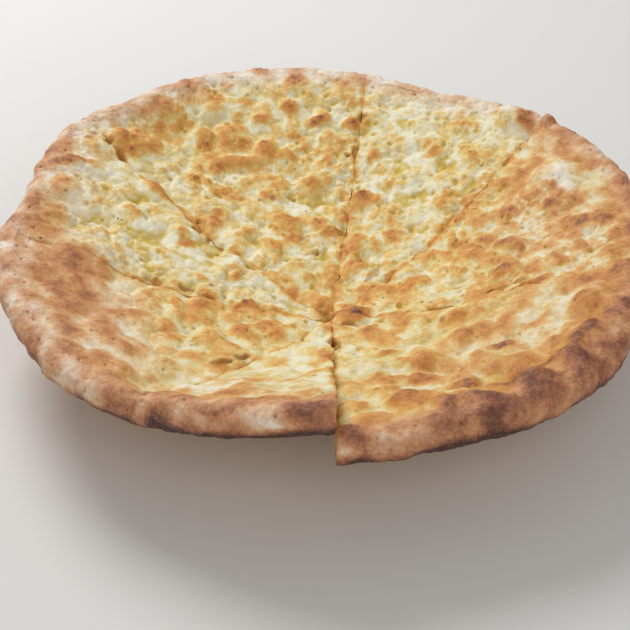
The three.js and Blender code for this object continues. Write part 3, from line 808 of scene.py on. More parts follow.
def crust_browning(at, name, inward, below):
    """Browning of the top, running over into that of the underside, with a darker lower edge:
    scorched and painted shade.
    """
    x, y = at.x, at.y
    # Painted shade: the crust is darkened next to the cuts.
    cut_shade = PAINTED_CUT_SHADE * inward * np.exp(-at.to_cut / PAINTED_CUT_SHADE_REACH)
    above = np.clip(browning_at(x, y) + SLICE_BROWNING[name] * inward + cut_shade, 0, None)
    lower_edge = np.select(
        [at.side == RIM, at.side == UNDERSIDE],
        [smoothstep(-at.angle, *LOWER_EDGE_ANGLES),
         smoothstep(even_radius(x, y), LOWER_EDGE_INNER, CREST_RADIUS)],
        0,
    )
    # Partly real scorching, partly painted shade, strongest under the near side of the rim.
    scorched = bulge_sum(at.bearing, LOWER_EDGE_BROWNING_AND_SHADE) * lower_edge
    scorched = scorched * uneven(x, y, *LOWER_EDGE_MOTTLE)
    return lerp(above, uneven(x, y, *UNDERNEATH), below) + scorched


def crust_values(at, name):
    """What the finishes and the fine relief read at each point of the crust."""
    x, y = at.x, at.y
    inward = inward_of_rim(x, y)
    facing_down = np.clip(-np.sin(np.radians(at.angle)), 0, 1)
    turned_under = np.where(at.side == RIM, smoothstep(facing_down, *TURNS_UNDER), 0)
    below = np.where(at.side == UNDERSIDE, 1, turned_under)
    above = at.side != UNDERSIDE
    smooth = place_strength(x, y, SMOOTH_PLACES, SMOOTH_EDGE)
    in_front = smoothstep(-y, *IN_FRONT)
    craggy = (1 - below) * craggy_share(y) * lerp(CRAGGY_ON_RIM, 1, inward)
    lumpy = (1 - below) * in_front * lerp(LUMPY_ON_RIM, 1, inward)
    rosy = np.maximum(1 - inward, place_strength(*ragged(x, y), ROSY_PLACES, ROSY_EDGE))
    return {
        "browning": crust_browning(at, name, inward, below),
        "rosy": above * rosy,
        "flour": flour_at(x, y) * (1 - below),
        "caramel": place_strength(*ragged(x, y), CARAMEL, CARAMEL_EDGE) * above,
        # Painted shade in the holes, by their depth.
        "painted_hole_shade": np.clip(hole_depth(x, y), 0, 1) * above,
        "speck": speck_at(x, y) * above,
        "craggy": craggy * (1 - CRAGGY_LOSS * smooth),
        "lumpy": lumpy * (1 - LUMPY_LOSS * smooth),
        "softer": (1 - below) * (1 - (1 - in_front) * inward * (1 - smooth)),
        "grainy": np.where(above, 1.0, UNDERSIDE_GRAIN),
        "rim": np.where(above, 1 - inward, 0),
        "hollow": np.zeros_like(x),
    }


def crumb_values(points, from_crust):
    """The same for the points of the cut faces, where what isn't named is 0."""
    out_share = np.hypot(points[:, 0], points[:, 1]) / BREAD_RADIUS
    # Partly browner crumb near the rim's crust, partly painted shade on the faces there.
    rim_crumb_browning_and_shade = RIM_CRUMB_BROWNING_AND_SHADE * smoothstep(out_share, *BAKED_THROUGH_FROM)
    return {
        "browning": CRUMB_BROWNING + CRUMB_EDGE_BROWNING * np.exp(-from_crust) + rim_crumb_browning_and_shade,
        "hollow": smoothstep(from_crust, *CRUMB_HOLLOWS_FROM),
    }


def join_rows(inner, inner_at, outer, outer_at):
    """Triangles between two rows of points, stepping along whichever row is behind."""
    corners = []
    i = j = 0
    while i < len(inner) - 1 or j < len(outer) - 1:
        can_inner = i < len(inner) - 1
        can_outer = j < len(outer) - 1
        if can_inner and (not can_outer or inner_at[i + 1] <= outer_at[j + 1] + 1e-9):
            corners.append((inner[i], outer[j], inner[i + 1]))
            i += 1
        else:
            corners.append((inner[i], outer[j], outer[j + 1]))
            j += 1
    return np.array(corners)


def quad_triangles(inner, outer):
    """Triangles between two rows with as many points each."""
    a, b, c, d = inner[:-1], outer[:-1], outer[1:], inner[1:]
    return np.concatenate([np.stack([a, b, c], 1), np.stack([a, c, d], 1)])


def crust_triangles(rows, numbers):
    """Triangles between each row of points and the next."""
    made = []
    for inner, outer, inner_row, outer_row in zip(numbers, numbers[1:], rows, rows[1:]):
        if len(inner) == len(outer):
            made.append(quad_triangles(inner, outer))
        else:
            made.append(join_rows(inner, inner_row[1], outer, outer_row[1]))
    return np.concatenate(made)


def cut_faces(points, numbers, top_count, cuts):
    """Two cut faces, each a grid from the crust's edge down to the underside's.

    Gives the points that they add, with the way into the slice and the distance from the crust at
    each, their triangles, and the lines of points round them.
    """
    added_points, ways, from_crust, triangles, borders = [], [], [], [], []
    next_number = len(points)
    tip_column = None
    for last, cut_bearing in zip((False, True), cuts):
        pick = -1 if last else 0
        over = np.array([row[pick] for row in numbers[:top_count + 1]])
        under = np.array([row[pick] for row in numbers[top_count:]][::-1])
        borders += [np.stack([line[:-1], line[1:]], 1) for line in (over, under)]
        # The edge below has half as many points as the one above.
        position = np.arange(len(over)) / 2
        low = np.floor(position).astype(int)
        high = np.minimum(low + 1, len(under) - 1)
        under_line = lerp(points[under[low]], points[under[high]], (position - low)[:, None])
        thickness = np.linalg.norm(points[over] - under_line, axis=1)
        turned = math.radians(cut_bearing + (-90 if last else 90))
        into = np.array([math.cos(turned), math.sin(turned), 0])
        # The last point is the rim's outermost, and the tip's points serve both faces.
        fresh = slice(1 if last else 0, len(over) - 1)
        grid = [over]
        for cell in range(1, FACE_CELLS):
            share_down = (1 - math.cos(math.pi * cell / FACE_CELLS)) / 2
            row = over.copy()
            if last:
                row[0] = tip_column[cell - 1]
            row[fresh] = next_number + np.arange(len(row[fresh]))
            next_number += len(row[fresh])
            grid.append(row)
            added_points.append(lerp(points[over], under_line, share_down)[fresh])
            from_crust.append((np.minimum(share_down, 1 - share_down) * thickness)[fresh])
            ways.append(np.tile(into, (len(row[fresh]), 1)))
            if not last:
                ways[-1][0] = 0
        if not last:
            tip_column = [row[0] for row in grid[1:]]
        made = [quad_triangles(upper, lower) for upper, lower in zip(grid, grid[1:])]
        made.append(join_rows(grid[-1], position, under, np.arange(len(under))))
        made = np.concatenate(made)
        triangles.append(made[:, ::-1] if last else made)
    faces = np.concatenate(triangles)
    corner_pairs = ((0, 1), (1, 2), (2, 0))
    whole = np.all([faces[:, first] != faces[:, second] for first, second in corner_pairs], axis=0)
    return SimpleNamespace(
        points=np.concatenate(added_points),
        way=np.concatenate(ways),
        from_crust=np.concatenate(from_crust),
        triangles=faces[whole],
        borders=np.concatenate(borders),
    )


def make_slice(name):
    """The slice's points in millimetres, its triangles, its sharp edges and what the points hold."""
    first_cut, second_cut, *lifts = SLICES[name]
    tip = slice_tip(first_cut, second_cut)
    rows, top_count = plan_rows(tip, first_cut, second_cut)
    at = spread_rows(rows)
    place_points(at, tip, first_cut, second_cut)
    raise_points(at, *lifts)
    points = np.stack([at.x, at.y, at.z], 1)
    starts = np.cumsum([0] + [len(row[1]) for row in rows])
    numbers = [np.arange(start, end) for start, end in zip(starts, starts[1:])]
    faces = cut_faces(points, numbers, top_count, (first_cut, second_cut))
    on_faces = crumb_values(faces.points, faces.from_crust)
    nothing = np.zeros(len(faces.points))
    values = {
        key: np.concatenate([value, on_faces.get(key, nothing)])
        for key, value in crust_values(at, name).items()
    }
    return SimpleNamespace(
        points=np.concatenate([points, faces.points]),
        crust=crust_triangles(rows, numbers),
        faces=faces.triangles,
        borders=faces.borders,
        values=values,
        way=np.concatenate([relief_way(at), faces.way]),
    )


def mesh_from(name, points, triangles):
    """A mesh of triangles, from points in millimetres."""
    mesh = bpy.data.meshes.new(name)
    mesh.vertices.add(len(points))
    mesh.vertices.foreach_set("co", (points * MM).astype(np.float32).ravel())
    mesh.loops.add(3 * len(triangles))
    mesh.loops.foreach_set("vertex_index", triangles.astype(np.int32).ravel())
    mesh.polygons.add(len(triangles))
    mesh.polygons.foreach_set("loop_start", np.arange(0, 3 * len(triangles), 3, dtype=np.int32))
    mesh.update(calc_edges=True)
    return mesh


def mark_sharp(mesh, pairs):
    """Marks the edges between these pairs of points as sharp."""
    edges = np.empty(2 * len(mesh.edges), np.int32)
    mesh.edges.foreach_get("vertices", edges)

    def key(ends):
        ends = np.sort(np.asarray(ends, np.int64).reshape(-1, 2), axis=1)
        return ends[:, 0] * len(mesh.vertices) + ends[:, 1]

    layer = mesh.attributes.new("sharp_edge", "BOOLEAN", "EDGE")
    layer.data.foreach_set("value", np.isin(key(edges), key(pairs)))


def slice_object(name):
    made = make_slice(name)
    mesh = mesh_from("baked_" + name, made.points, np.concatenate([made.crust, made.faces]))
    mark_sharp(mesh, made.borders)
    for key, value in made.values.items():
        layer = mesh.attributes.new(key, "FLOAT", "POINT")
        layer.data.foreach_set("value", value.astype(np.float32))
    layer = mesh.attributes.new("way", "FLOAT_VECTOR", "POINT")
    layer.data.foreach_set("vector", made.way.astype(np.float32).ravel())
    cut = np.concatenate([np.zeros(len(made.crust), bool), np.ones(len(made.faces), bool)])
    mesh.attributes.new("cut_face", "BOOLEAN", "FACE").data.foreach_set("value", cut)
    piece = bpy.data.objects.new("baked_" + name, mesh)
    bpy.context.scene.collection.objects.link(piece)
    return piece


# ---------------------------------------------------------------- node helpers


def set_inputs(tree, node, inputs):
    """Sets a node's inputs to values, or joins them to other nodes' outputs."""
    for key, value in inputs.items():
        if isinstance(value, bpy.types.NodeSocket):
            tree.links.new(value, node.inputs[key])
        else:
            node.inputs[key].default_value = value


def add_node(tree, kind, inputs=None, **settings):
    node = tree.nodes.new(kind)
    for key, value in settings.items():
        setattr(node, key, value)
    set_inputs(tree, node, inputs or {})
    return node


def maths(tree, operation, first, second, clamp=False):
    inputs = {0: first, 1: second}
    return add_node(tree, "ShaderNodeMath", inputs, operation=operation, use_clamp=clamp).outputs[0]


def times(tree, first, second, clamp=False):
    return maths(tree, "MULTIPLY", first, second, clamp)


def added(tree, values):
    total = values[0]
    for value in values[1:]:
        total = maths(tree, "ADD", total, value)
    return total


def vector_maths(tree, operation, inputs):
    return add_node(tree, "ShaderNodeVectorMath", inputs, operation=operation).outputs[0]


def ramped(tree, value, low, high, low_out=0.0, high_out=1.0):
    """A value eased from one range to another."""
    inputs = {"Value": value, "From Min": low, "From Max": high,
              "To Min": low_out, "To Max": high_out}
    node = add_node(tree, "ShaderNodeMapRange", inputs, interpolation_type="SMOOTHSTEP")
    return node.outputs[0]


def noise(tree, place, scale, detail, roughness=0.5):
    inputs = {"Vector": place, "Scale": scale, "Detail": detail, "Roughness": roughness}
    return add_node(tree, "ShaderNodeTexNoise", inputs).outputs


def cells(tree, place, scale, **settings):
    inputs = {"Vector": place, "Scale": scale}
    return add_node(tree, "ShaderNodeTexVoronoi", inputs, **settings).outputs


def new_tree(name, kind, inputs, outputs):
    """A node group with named inputs (name, type, value) and outputs (name, type)."""
    tree = bpy.data.node_groups.new(name, kind)
    for label, socket, value in inputs:
        made = tree.interface.new_socket(label, in_out="INPUT", socket_type=socket)
        if value is not None:
            made.default_value = value
    for label, socket in outputs:
        tree.interface.new_socket(label, in_out="OUTPUT", socket_type=socket)
    start = tree.nodes.new("NodeGroupInput")
    end = tree.nodes.new("NodeGroupOutput")
    return tree, start, end


def run_tree(piece, tree, **given):
    """Runs a tree on a piece, with these of its inputs set, and leaves a plain mesh."""
    modifier = piece.modifiers.new(tree.name, "NODES")
    modifier.node_group = tree
    for item in tree.interface.items_tree:
        label = item.name.replace(" ", "_").lower()
        if item.item_type == "SOCKET" and item.in_out == "INPUT" and label in given:
            modifier[item.identifier] = given[label]
    graph = bpy.context.evaluated_depsgraph_get()
    graph.update()
    result = bpy.data.meshes.new_from_object(piece.evaluated_get(graph), depsgraph=graph)
    piece.modifiers.remove(modifier)
    piece.data = result
    result.name = piece.name
    return piece


def named(tree, name, kind="FLOAT"):
    """What a mesh holds under a name, for a relief."""
    node = add_node(tree, "GeometryNodeInputNamedAttribute", {"Name": name}, data_type=kind)
    return node.outputs["Attribute"]


def attribute(tree, name):
    """The same for a finish."""
    return add_node(tree, "ShaderNodeAttribute", attribute_name=name).outputs["Fac"]


# ---------------------------------------------------------------- fine relief of the dough

# Sizes, heights and depths in millimetres.
RELIEF_SIZES = {
    "Broad Lump Size": 12, "Broad Lump Height": 3.6, "Lump Size": 9, "Lump Height": 2.4,
    "Nub Size": 4.2, "Nub Height": 1.1, "Small Nub Size": 2.5, "Small Nub Height": 0.35,
    "Cleft Size": 12, "Cleft Depth": 0.6, "Grain Size": 1.9, "Grain Height": 0.2,
    "Dip Size": 5.6, "Dip Depth": 1.3, "Pit Size": 4.4, "Pit Depth": 0.6,
    "Rim Lump Size": 12, "Rim Lump Height": 1.2, "Rim Grain Height": 0.45,
    "Hollow Size": 4.2, "Hollow Depth": 0.9,
}
ROUGH_PATCH_SIZE = 18
CELLS_BENT = (5, 1.4)  # size of the noise that pulls cells about, and how far
CLEFTS_BENT = (7, 6)
LUMP_SMOOTHNESS = 0.3
LUMP_WIDTH = 0.8

# What a value is ramped from and to, and what it comes out as where that isn't 0 and 1.
ROUGH_PATCHES = (0.35, 0.62, 0.5, 1.1)
BROWN_IS_SMOOTHER = (0.3, 0.9, 1.0, 0.4)
CLEFT_WIDTH = (0.14, 0.0)
CLEFT_PATCHES = (0.46, 0.6)
PIT_WIDTH = (0.26, 0.08)
PITS_CHOSEN = (0.6, 0.95)
DIP_WIDTH = (0.36, 0.05)
DIPS_CHOSEN = (0.3, 0.7)
RIM_SWELL = (0.3, 0.7, -0.6, 0.6)
HOLLOW_WIDTH = (0.5, 0.15)

SOFTER_NUB_LOSS = 0.35
MORE_PITS_ON_RIM = 0.25
DIPS_IN_CRAGS = 1.5
CRAGGY_TOPS = (0.65, 0.35, 0.25)  # shares of the lumps and the nubs, and what clefts take away
SOFT_TOPS = (0.6, 0.4)  # shares of the broad lumps and the lumps


def relief_tree():
    """Nubs, clefts, grain and pits on the crust, and the crumb's hollows in the cut faces."""
    tree, start, end = new_tree("dough_relief", "GeometryNodeTree", [
        ("Slice", "NodeSocketGeometry", None),
        *((label, "NodeSocketFloat", size * MM) for label, size in RELIEF_SIZES.items()),
        ("Crust", "NodeSocketMaterial", None),
        ("Crumb", "NodeSocketMaterial", None),
    ], [("Slice", "NodeSocketGeometry")])
    position = tree.nodes.new("GeometryNodeInputPosition").outputs[0]

    def scale_for(label):
        return maths(tree, "DIVIDE", 1.0, start.outputs[label])

    def bent_by(size, distance):
        """The position pulled about by noise, so that cells come out uneven."""
        pull = noise(tree, position, 1 / (size * MM), 1.0)["Color"]
        centred = vector_maths(tree, "SUBTRACT", {0: pull, 1: (0.5, 0.5, 0.5)})
        moved = vector_maths(tree, "SCALE", {0: centred, "Scale": distance * MM})
        return vector_maths(tree, "ADD", {0: position, 1: moved})

    bent = bent_by(*CELLS_BENT)

    def domed(label):
        """Domes with soft creases between them, from 0 in a crease to 1."""
        cell = add_node(tree, "ShaderNodeTexVoronoi", {
            "Vector": bent, "Scale": scale_for(label), "Smoothness": LUMP_SMOOTHNESS,
        }, feature="SMOOTH_F1")
        out = maths(tree, "DIVIDE", cell.outputs["Distance"], LUMP_WIDTH)
        return maths(tree, "SUBTRACT", 1.0, times(tree, out, out), clamp=True)

    def rise_of(share, label):
        return times(tree, maths(tree, "SUBTRACT", share, 0.5), start.outputs[label])

    broad_lumps = domed("Broad Lump Size")
    lumps_here = domed("Lump Size")
    nubs = domed("Nub Size")
    small_nubs = domed("Small Nub Size")
    patch = noise(tree, position, 1 / (ROUGH_PATCH_SIZE * MM), 1.0)["Fac"]
    craggy = times(tree, named(tree, "craggy"), ramped(tree, patch, *ROUGH_PATCHES))
    craggy = times(tree, craggy, ramped(tree, named(tree, "browning"), *BROWN_IS_SMOOTHER))
    edges = cells(tree, bent_by(*CLEFTS_BENT), scale_for("Cleft Size"), feature="DISTANCE_TO_EDGE")
    cleft = times(tree, ramped(tree, edges["Distance"], *CLEFT_WIDTH),
                  ramped(tree, patch, *CLEFT_PATCHES))
    cleft_drop = times(tree, cleft, start.outputs["Cleft Depth"])
    # In front of the side cuts the dough lies in broad smooth lumps instead of crags.
    softer = named(tree, "softer")
    nub_share = maths(tree, "SUBTRACT", 1.0, times(tree, softer, SOFTER_NUB_LOSS))
    nub_rise = added(tree, [rise_of(nubs, "Nub Height"), rise_of(small_nubs, "Small Nub Height")])
    nub_rise = times(tree, maths(tree, "SUBTRACT", nub_rise, cleft_drop), nub_share)
    rough_rise = times(tree, added(tree, [rise_of(lumps_here, "Lump Height"), nub_rise]), craggy)
    broad_rise = times(tree, rise_of(broad_lumps, "Broad Lump Height"), named(tree, "lumpy"))

    grain = noise(tree, position, scale_for("Grain Size"), 2.0, 0.6)["Fac"]
    grain_rise = times(tree, maths(tree, "SUBTRACT", grain, 0.5),
                       times(tree, start.outputs["Grain Height"], 2.0))
    pit = cells(tree, bent, scale_for("Pit Size"))
    pit_chosen = add_node(tree, "FunctionNodeSeparateColor", {"Color": pit["Color"]}).outputs[0]
    pit_chosen = added(tree, [pit_chosen, times(tree, named(tree, "rim"), MORE_PITS_ON_RIM)])
    pit_here = times(tree, ramped(tree, pit["Distance"], *PIT_WIDTH),
                     ramped(tree, pit_chosen, *PITS_CHOSEN))
    pit_drop = times(tree, pit_here, start.outputs["Pit Depth"])
    fine_rise = times(tree, maths(tree, "SUBTRACT", grain_rise, pit_drop), named(tree, "grainy"))
    # Soft round dips, which the crust finish fills with painted shade, a darker yellow.
    dip = cells(tree, bent, scale_for("Dip Size"))
    dip_chosen = add_node(tree, "FunctionNodeSeparateColor", {"Color": dip["Color"]}).outputs[1]
    dip_here = times(tree, ramped(tree, dip["Distance"], *DIP_WIDTH),
                     ramped(tree, dip_chosen, *DIPS_CHOSEN))
    dip_here = times(tree, dip_here, times(tree, craggy, DIPS_IN_CRAGS), clamp=True)
    dip_drop = times(tree, dip_here, start.outputs["Dip Depth"])

    swell = noise(tree, position, scale_for("Rim Lump Size"), 1.5)["Fac"]
    swell_rise = times(tree, ramped(tree, swell, *RIM_SWELL),
                       times(tree, start.outputs["Rim Lump Height"], named(tree, "rim")))
    rim_grain = times(tree, rise_of(small_nubs, "Rim Grain Height"), named(tree, "rim"))
    rim_rise = added(tree, [swell_rise, rim_grain])

    # On the cut faces the way points into the slice, so there a hollow is a rise.
    hole = cells(tree, bent, scale_for("Hollow Size"))
    hollow = times(tree, named(tree, "hollow"), ramped(tree, hole["Distance"], *HOLLOW_WIDTH))
    hollow_rise = times(tree, hollow, start.outputs["Hollow Depth"])

    rise = added(tree, [broad_rise, rough_rise, fine_rise, rim_rise, hollow_rise])
    offset = vector_maths(tree, "SCALE", {
        0: named(tree, "way", "FLOAT_VECTOR"), "Scale": maths(tree, "SUBTRACT", rise, dip_drop),
    })

    # How far up a lump each point lies, for the finishes.
    of_lumps, of_nubs, of_clefts = CRAGGY_TOPS
    craggy_tops = added(tree, [times(tree, lumps_here, of_lumps), times(tree, nubs, of_nubs)])
    craggy_tops = maths(tree, "SUBTRACT", craggy_tops, times(tree, cleft, of_clefts))
    of_broad, of_lumps = SOFT_TOPS
    soft_tops = added(tree, [times(tree, broad_lumps, of_broad), times(tree, lumps_here, of_lumps)])
    change = times(tree, maths(tree, "SUBTRACT", soft_tops, craggy_tops), softer)
    tops = maths(tree, "ADD", craggy_tops, change, clamp=True)

    shape = start.outputs["Slice"]
    stored = {"tops": tops, "pits": pit_here, "dips": dip_here, "hollow": hollow}
    for label, value in stored.items():
        shape = add_node(tree, "GeometryNodeStoreNamedAttribute",
                         {"Geometry": shape, "Name": label, "Value": value},
                         data_type="FLOAT", domain="POINT").outputs[0]
    for kind, inputs in (
        ("GeometryNodeSetPosition", {"Offset": offset}),
        ("GeometryNodeRealizeInstances", {}),
        ("GeometryNodeSetMaterial", {"Material": start.outputs["Crust"]}),
        ("GeometryNodeSetMaterial", {"Selection": named(tree, "cut_face", "BOOLEAN"),
                                     "Material": start.outputs["Crumb"]}),
    ):
        shape = add_node(tree, kind, {"Geometry": shape, **inputs}).outputs[0]
    set_inputs(tree, end, {"Slice": shape})
    return tree


# ---------------------------------------------------------------- finishes


def colour(red, green, blue):
    """A colour named by its three values from 0 to 255, made linear."""
    def straight(value):
        share = value / 255
        return share / 12.92 if share <= 0.04045 else ((share + 0.055) / 1.055) ** 2.4
    return straight(red), straight(green), straight(blue), 1.0


# Colours of dough by how far it has browned.
GOLDEN = [
    (0.0, colour(236, 232, 210)),
    (0.1, colour(234, 226, 190)),
    (0.22, colour(231, 214, 160)),
    (0.36, colour(228, 195, 122)),
    (0.55, colour(221, 170, 95)),
    (0.75, colour(213, 150, 76)),
    (0.95, colour(197, 130, 66)),
    (1.2, colour(136, 86, 58)),
    (1.5, colour(88, 54, 42)),
]
ROSY = [
    (0.0, colour(238, 226, 212)),
    (0.1, colour(234, 216, 196)),
    (0.22, colour(229, 203, 176)),
    (0.36, colour(222, 189, 160)),
    (0.55, colour(213, 166, 128)),
    (0.75, colour(200, 143, 100)),
    (0.95, colour(178, 118, 84)),
    (1.2, colour(137, 86, 63)),
    (1.5, colour(80, 48, 38)),
]
MOST_BROWNING = 1.5
# Painted shade for the creases and dips of the dough: a darker yellow standing in for their shadow.
PAINTED_CLEFT_SHADE = colour(208, 177, 64)

# Finer swings of browning: size in millimetres, how much. Calm places lose some of the fine ones.
FINE_SWINGS = [(1.3, 0.6), (3.4, 0.6)]
BROAD_SWING = (9, 0.9)
CALM_LOSS = 0.15

# Ranges as above. The tops of lumps count from a middle level, and as much as the browning says.
SWING_RANGE = (0.3, 0.7, -1.0, 1.0)
TOPS_MIDDLE = 0.52
TOPS_CHANGE = 2.0
TOPS_IN_GOLDEN = (0.05, 0.4, 0.0, 0.5)
TOPS_IN_BROWN = (0.5, 0.95, 1.0, 0.2)
CREASES = (0.48, 0.1)
CREASES_IN_BROWN = (0.5, 0.15, 0.3, 0.85)
CREASES_IN_ROSY = (0.0, 0.7, 1.0, 0.1)
# How much painted shade the dips get.
DIP_SHADE_SHARE = 0.85

FLOUR = colour(246, 240, 228)
CLOUD_SIZE = 1.3
CLOUD_RANGE = (0.25, 0.8)
CLOUD_SHARE = 0.9
DUST_SIZE = 0.85
DUST_RANGE = (0.52, 0.72)
DUST_BY_FLOUR = (0.0, 0.4, 0.06, 0.4)

GRAIN_SIZE = 0.9
GRAIN_DEPTH = 0.5
PORE_SIZE = 1.6
PORE_WIDTH = (0.35, 0.05)

# Laid over the browned crust one after another: attribute, how much of it, colour. The amber in the
# holes is painted shade.
CRUST_SPOTS = [
    ("caramel", 0.75, colour(172, 98, 26)),
    ("painted_hole_shade", 0.8, colour(170, 112, 34)),
    ("speck", 1.0, colour(52, 38, 28)),
]
# Painted shade in the pits of the crust: how much of it, and its colour.
PIT_SHARE = 0.5
PAINTED_PIT_SHADE = colour(150, 104, 48)
CRUST_ROUGHNESS = (0.2, 1.2, 0.78, 0.6)
FLOUR_ROUGHNESS = 0.2
# Painted shade in the crumb's hollows: how much of it, and its colour.
HOLLOW_SHARE = 0.45
PAINTED_HOLLOW_SHADE = colour(205, 175, 110)

# Dough lets red light through further than blue, so its creases glow yellow.
LIGHT_THROUGH_CRUST = {
    "Subsurface Weight": 0.25,
    "Subsurface Radius": (1.0, 0.55, 0.18),
    "Subsurface Scale": 1.3 * MM,
}

FLOOR_SHADES = (colour(222, 221, 219), colour(229, 228, 226))
FLOOR_CLOUD_SCALE = 3.0


def colour_ramp(tree, amount, stops):
    """The colour for an amount of browning, the last stop's where it is 1."""
    node = add_node(tree, "ShaderNodeValToRGB", {"Fac": amount})
    ramp = node.color_ramp
    while len(ramp.elements) > 1:
        ramp.elements.remove(ramp.elements[-1])
    ramp.elements[0].position = stops[0][0] / MOST_BROWNING
    ramp.elements[0].color = stops[0][1]
    for level, shade in stops[1:]:
        ramp.elements.new(level / MOST_BROWNING).color = shade
    return node.outputs["Color"]


def mixed(tree, amount, first, second, blend="MIX"):
    node = add_node(tree, "ShaderNodeMix", {0: amount, 6: first, 7: second},
                    data_type="RGBA", blend_type=blend)
    return node.outputs[2]


def browning_group():
    """Colour of baked dough by how far it has browned, with finer variation and painted shade in
    creases and dips.
    """
    tree, start, end = new_tree("browned_dough", "ShaderNodeTree", [
        ("Browning", "NodeSocketFloat", 0.3),
        ("Rosy", "NodeSocketFloat", 0.0),
        ("Tops", "NodeSocketFloat", 0.5),
        ("Variation", "NodeSocketFloat", 0.16),
        ("Calm", "NodeSocketFloat", 0.0),
        ("Dips", "NodeSocketFloat", 0.0),
        ("Place", "NodeSocketVector", None),
    ], [("Color", "NodeSocketColor"), ("Amount", "NodeSocketFloat")])
    browning, rosy, tops, variation, calm, dips, place = list(start.outputs)[:7]

    def swinging(size, by):
        fac = noise(tree, place, 1 / (size * MM), 0.0, 0.6)["Fac"]
        return times(tree, ramped(tree, fac, *SWING_RANGE), by)

    swing = added(tree, [swinging(*fine) for fine in FINE_SWINGS])
    swing = times(tree, swing, maths(tree, "SUBTRACT", 1.0, times(tree, calm, CALM_LOSS)))
    swing = times(tree, added(tree, [swing, swinging(*BROAD_SWING)]), variation)
    # Golden dough is brownest on top; pale dough is whitest on top, with painted shade in its
    # creases.
    top_change = times(tree, ramped(tree, browning, *TOPS_IN_GOLDEN),
                       ramped(tree, browning, *TOPS_IN_BROWN))
    raised = times(tree, maths(tree, "SUBTRACT", tops, TOPS_MIDDLE), top_change)
    amount = added(tree, [browning, swing, times(tree, raised, TOPS_CHANGE)])
    at = maths(tree, "DIVIDE", amount, MOST_BROWNING, clamp=True)
    baked = mixed(tree, rosy, colour_ramp(tree, at, GOLDEN), colour_ramp(tree, at, ROSY))
    # Painted shade: the low places between lumps, and the dips, are mixed towards a darker yellow.
    crease = times(tree, ramped(tree, tops, *CREASES), ramped(tree, browning, *CREASES_IN_BROWN))
    crease = times(tree, crease, ramped(tree, rosy, *CREASES_IN_ROSY))
    crease = maths(tree, "MAXIMUM", crease, times(tree, dips, DIP_SHADE_SHARE))
    set_inputs(tree, end, {"Color": mixed(tree, crease, baked, PAINTED_CLEFT_SHADE), "Amount": amount})
    return tree


def flour_group():
    """Flour that lies on the crust in fine specks and clouds."""
    tree, start, end = new_tree("flour_dust", "ShaderNodeTree", [
        ("Color", "NodeSocketColor", None),
        ("Flour", "NodeSocketFloat", 0.0),
        ("Place", "NodeSocketVector", None),
    ], [("Color", "NodeSocketColor"), ("Mask", "NodeSocketFloat")])
    base, flour, place = list(start.outputs)[:3]
    specks = noise(tree, place, 1 / (CLOUD_SIZE * MM), 3.0, 0.7)["Fac"]
    level = maths(tree, "SUBTRACT", added(tree, [flour, specks]), 0.5)
    cloud = times(tree, ramped(tree, level, *CLOUD_RANGE), CLOUD_SHARE)
    dust = noise(tree, place, 1 / (DUST_SIZE * MM), 1.0, 0.5)["Fac"]
    sprinkled = times(tree, ramped(tree, dust, *DUST_RANGE), ramped(tree, flour, *DUST_BY_FLOUR))
    mask = maths(tree, "MAXIMUM", cloud, sprinkled)
    set_inputs(tree, end, {"Color": mixed(tree, mask, base, FLOUR), "Mask": mask})
    return tree


def grain_group():
    """Height of the fine dry grain and pores of baked dough, for a bump."""
    tree, start, end = new_tree("dough_grain", "ShaderNodeTree", [
        ("Place", "NodeSocketVector", None),
        ("Pores", "NodeSocketFloat", 0.5),
    ], [("Height", "NodeSocketFloat")])
    place, pores = list(start.outputs)[:2]
    grain = noise(tree, place, 1 / (GRAIN_SIZE * MM), 3.0, 0.65)["Fac"]
    pore = cells(tree, place, 1 / (PORE_SIZE * MM))["Distance"]
    pore = times(tree, ramped(tree, pore, *PORE_WIDTH), pores)
    set_inputs(tree, end, {"Height": maths(tree, "SUBTRACT", grain, pore)})
    return tree


def new_finish(name):
    """A finish, its tree, its shader and the place of a point on the piece."""
    finish = bpy.data.materials.new(name)
    finish.use_nodes = True
    tree = finish.node_tree
    place = tree.nodes.new("ShaderNodeTexCoord").outputs["Object"]
    return finish, tree, tree.nodes["Principled BSDF"], place


def group_node(tree, group, **inputs):
    return add_node(tree, "ShaderNodeGroup", inputs, node_tree=group).outputs


def add_grain(tree, shader, group, place, pores, strength):
    """Lays the fine grain over a finish as a bump."""
    height = group_node(tree, group, Place=place, Pores=pores)["Height"]
    bump = add_node(tree, "ShaderNodeBump",
                    {"Height": height, "Strength": strength, "Distance": GRAIN_DEPTH * MM})
    set_inputs(tree, shader, {"Normal": bump.outputs["Normal"]})


def crust_finish(groups):
    finish, tree, shader, place = new_finish("baked_crust")
    browned = group_node(tree, groups["browning"], Browning=attribute(tree, "browning"),
                         Rosy=attribute(tree, "rosy"), Tops=attribute(tree, "tops"),
                         Variation=0.14, Calm=attribute(tree, "softer"),
                         Dips=attribute(tree, "dips"), Place=place)
    shade = browned["Color"]
    for name, share, spot in CRUST_SPOTS:
        shade = mixed(tree, times(tree, attribute(tree, name), share), shade, spot)
    dusted = group_node(tree, groups["flour"], Color=shade, Flour=attribute(tree, "flour"),
                        Place=place)
    # Painted shade: the pits are darkened as if by their shadow.
    pit_shaded = mixed(tree, times(tree, attribute(tree, "pits"), PIT_SHARE), dusted["Color"],
                   PAINTED_PIT_SHADE, "MULTIPLY")
    rough = maths(tree, "ADD", ramped(tree, browned["Amount"], *CRUST_ROUGHNESS),
                  times(tree, dusted["Mask"], FLOUR_ROUGHNESS), clamp=True)
    set_inputs(tree, shader, {"Base Color": pit_shaded, "Roughness": rough,
                              "Specular IOR Level": 0.35, **LIGHT_THROUGH_CRUST})
    add_grain(tree, shader, groups["grain"], place, pores=0.4, strength=0.4)
    return finish


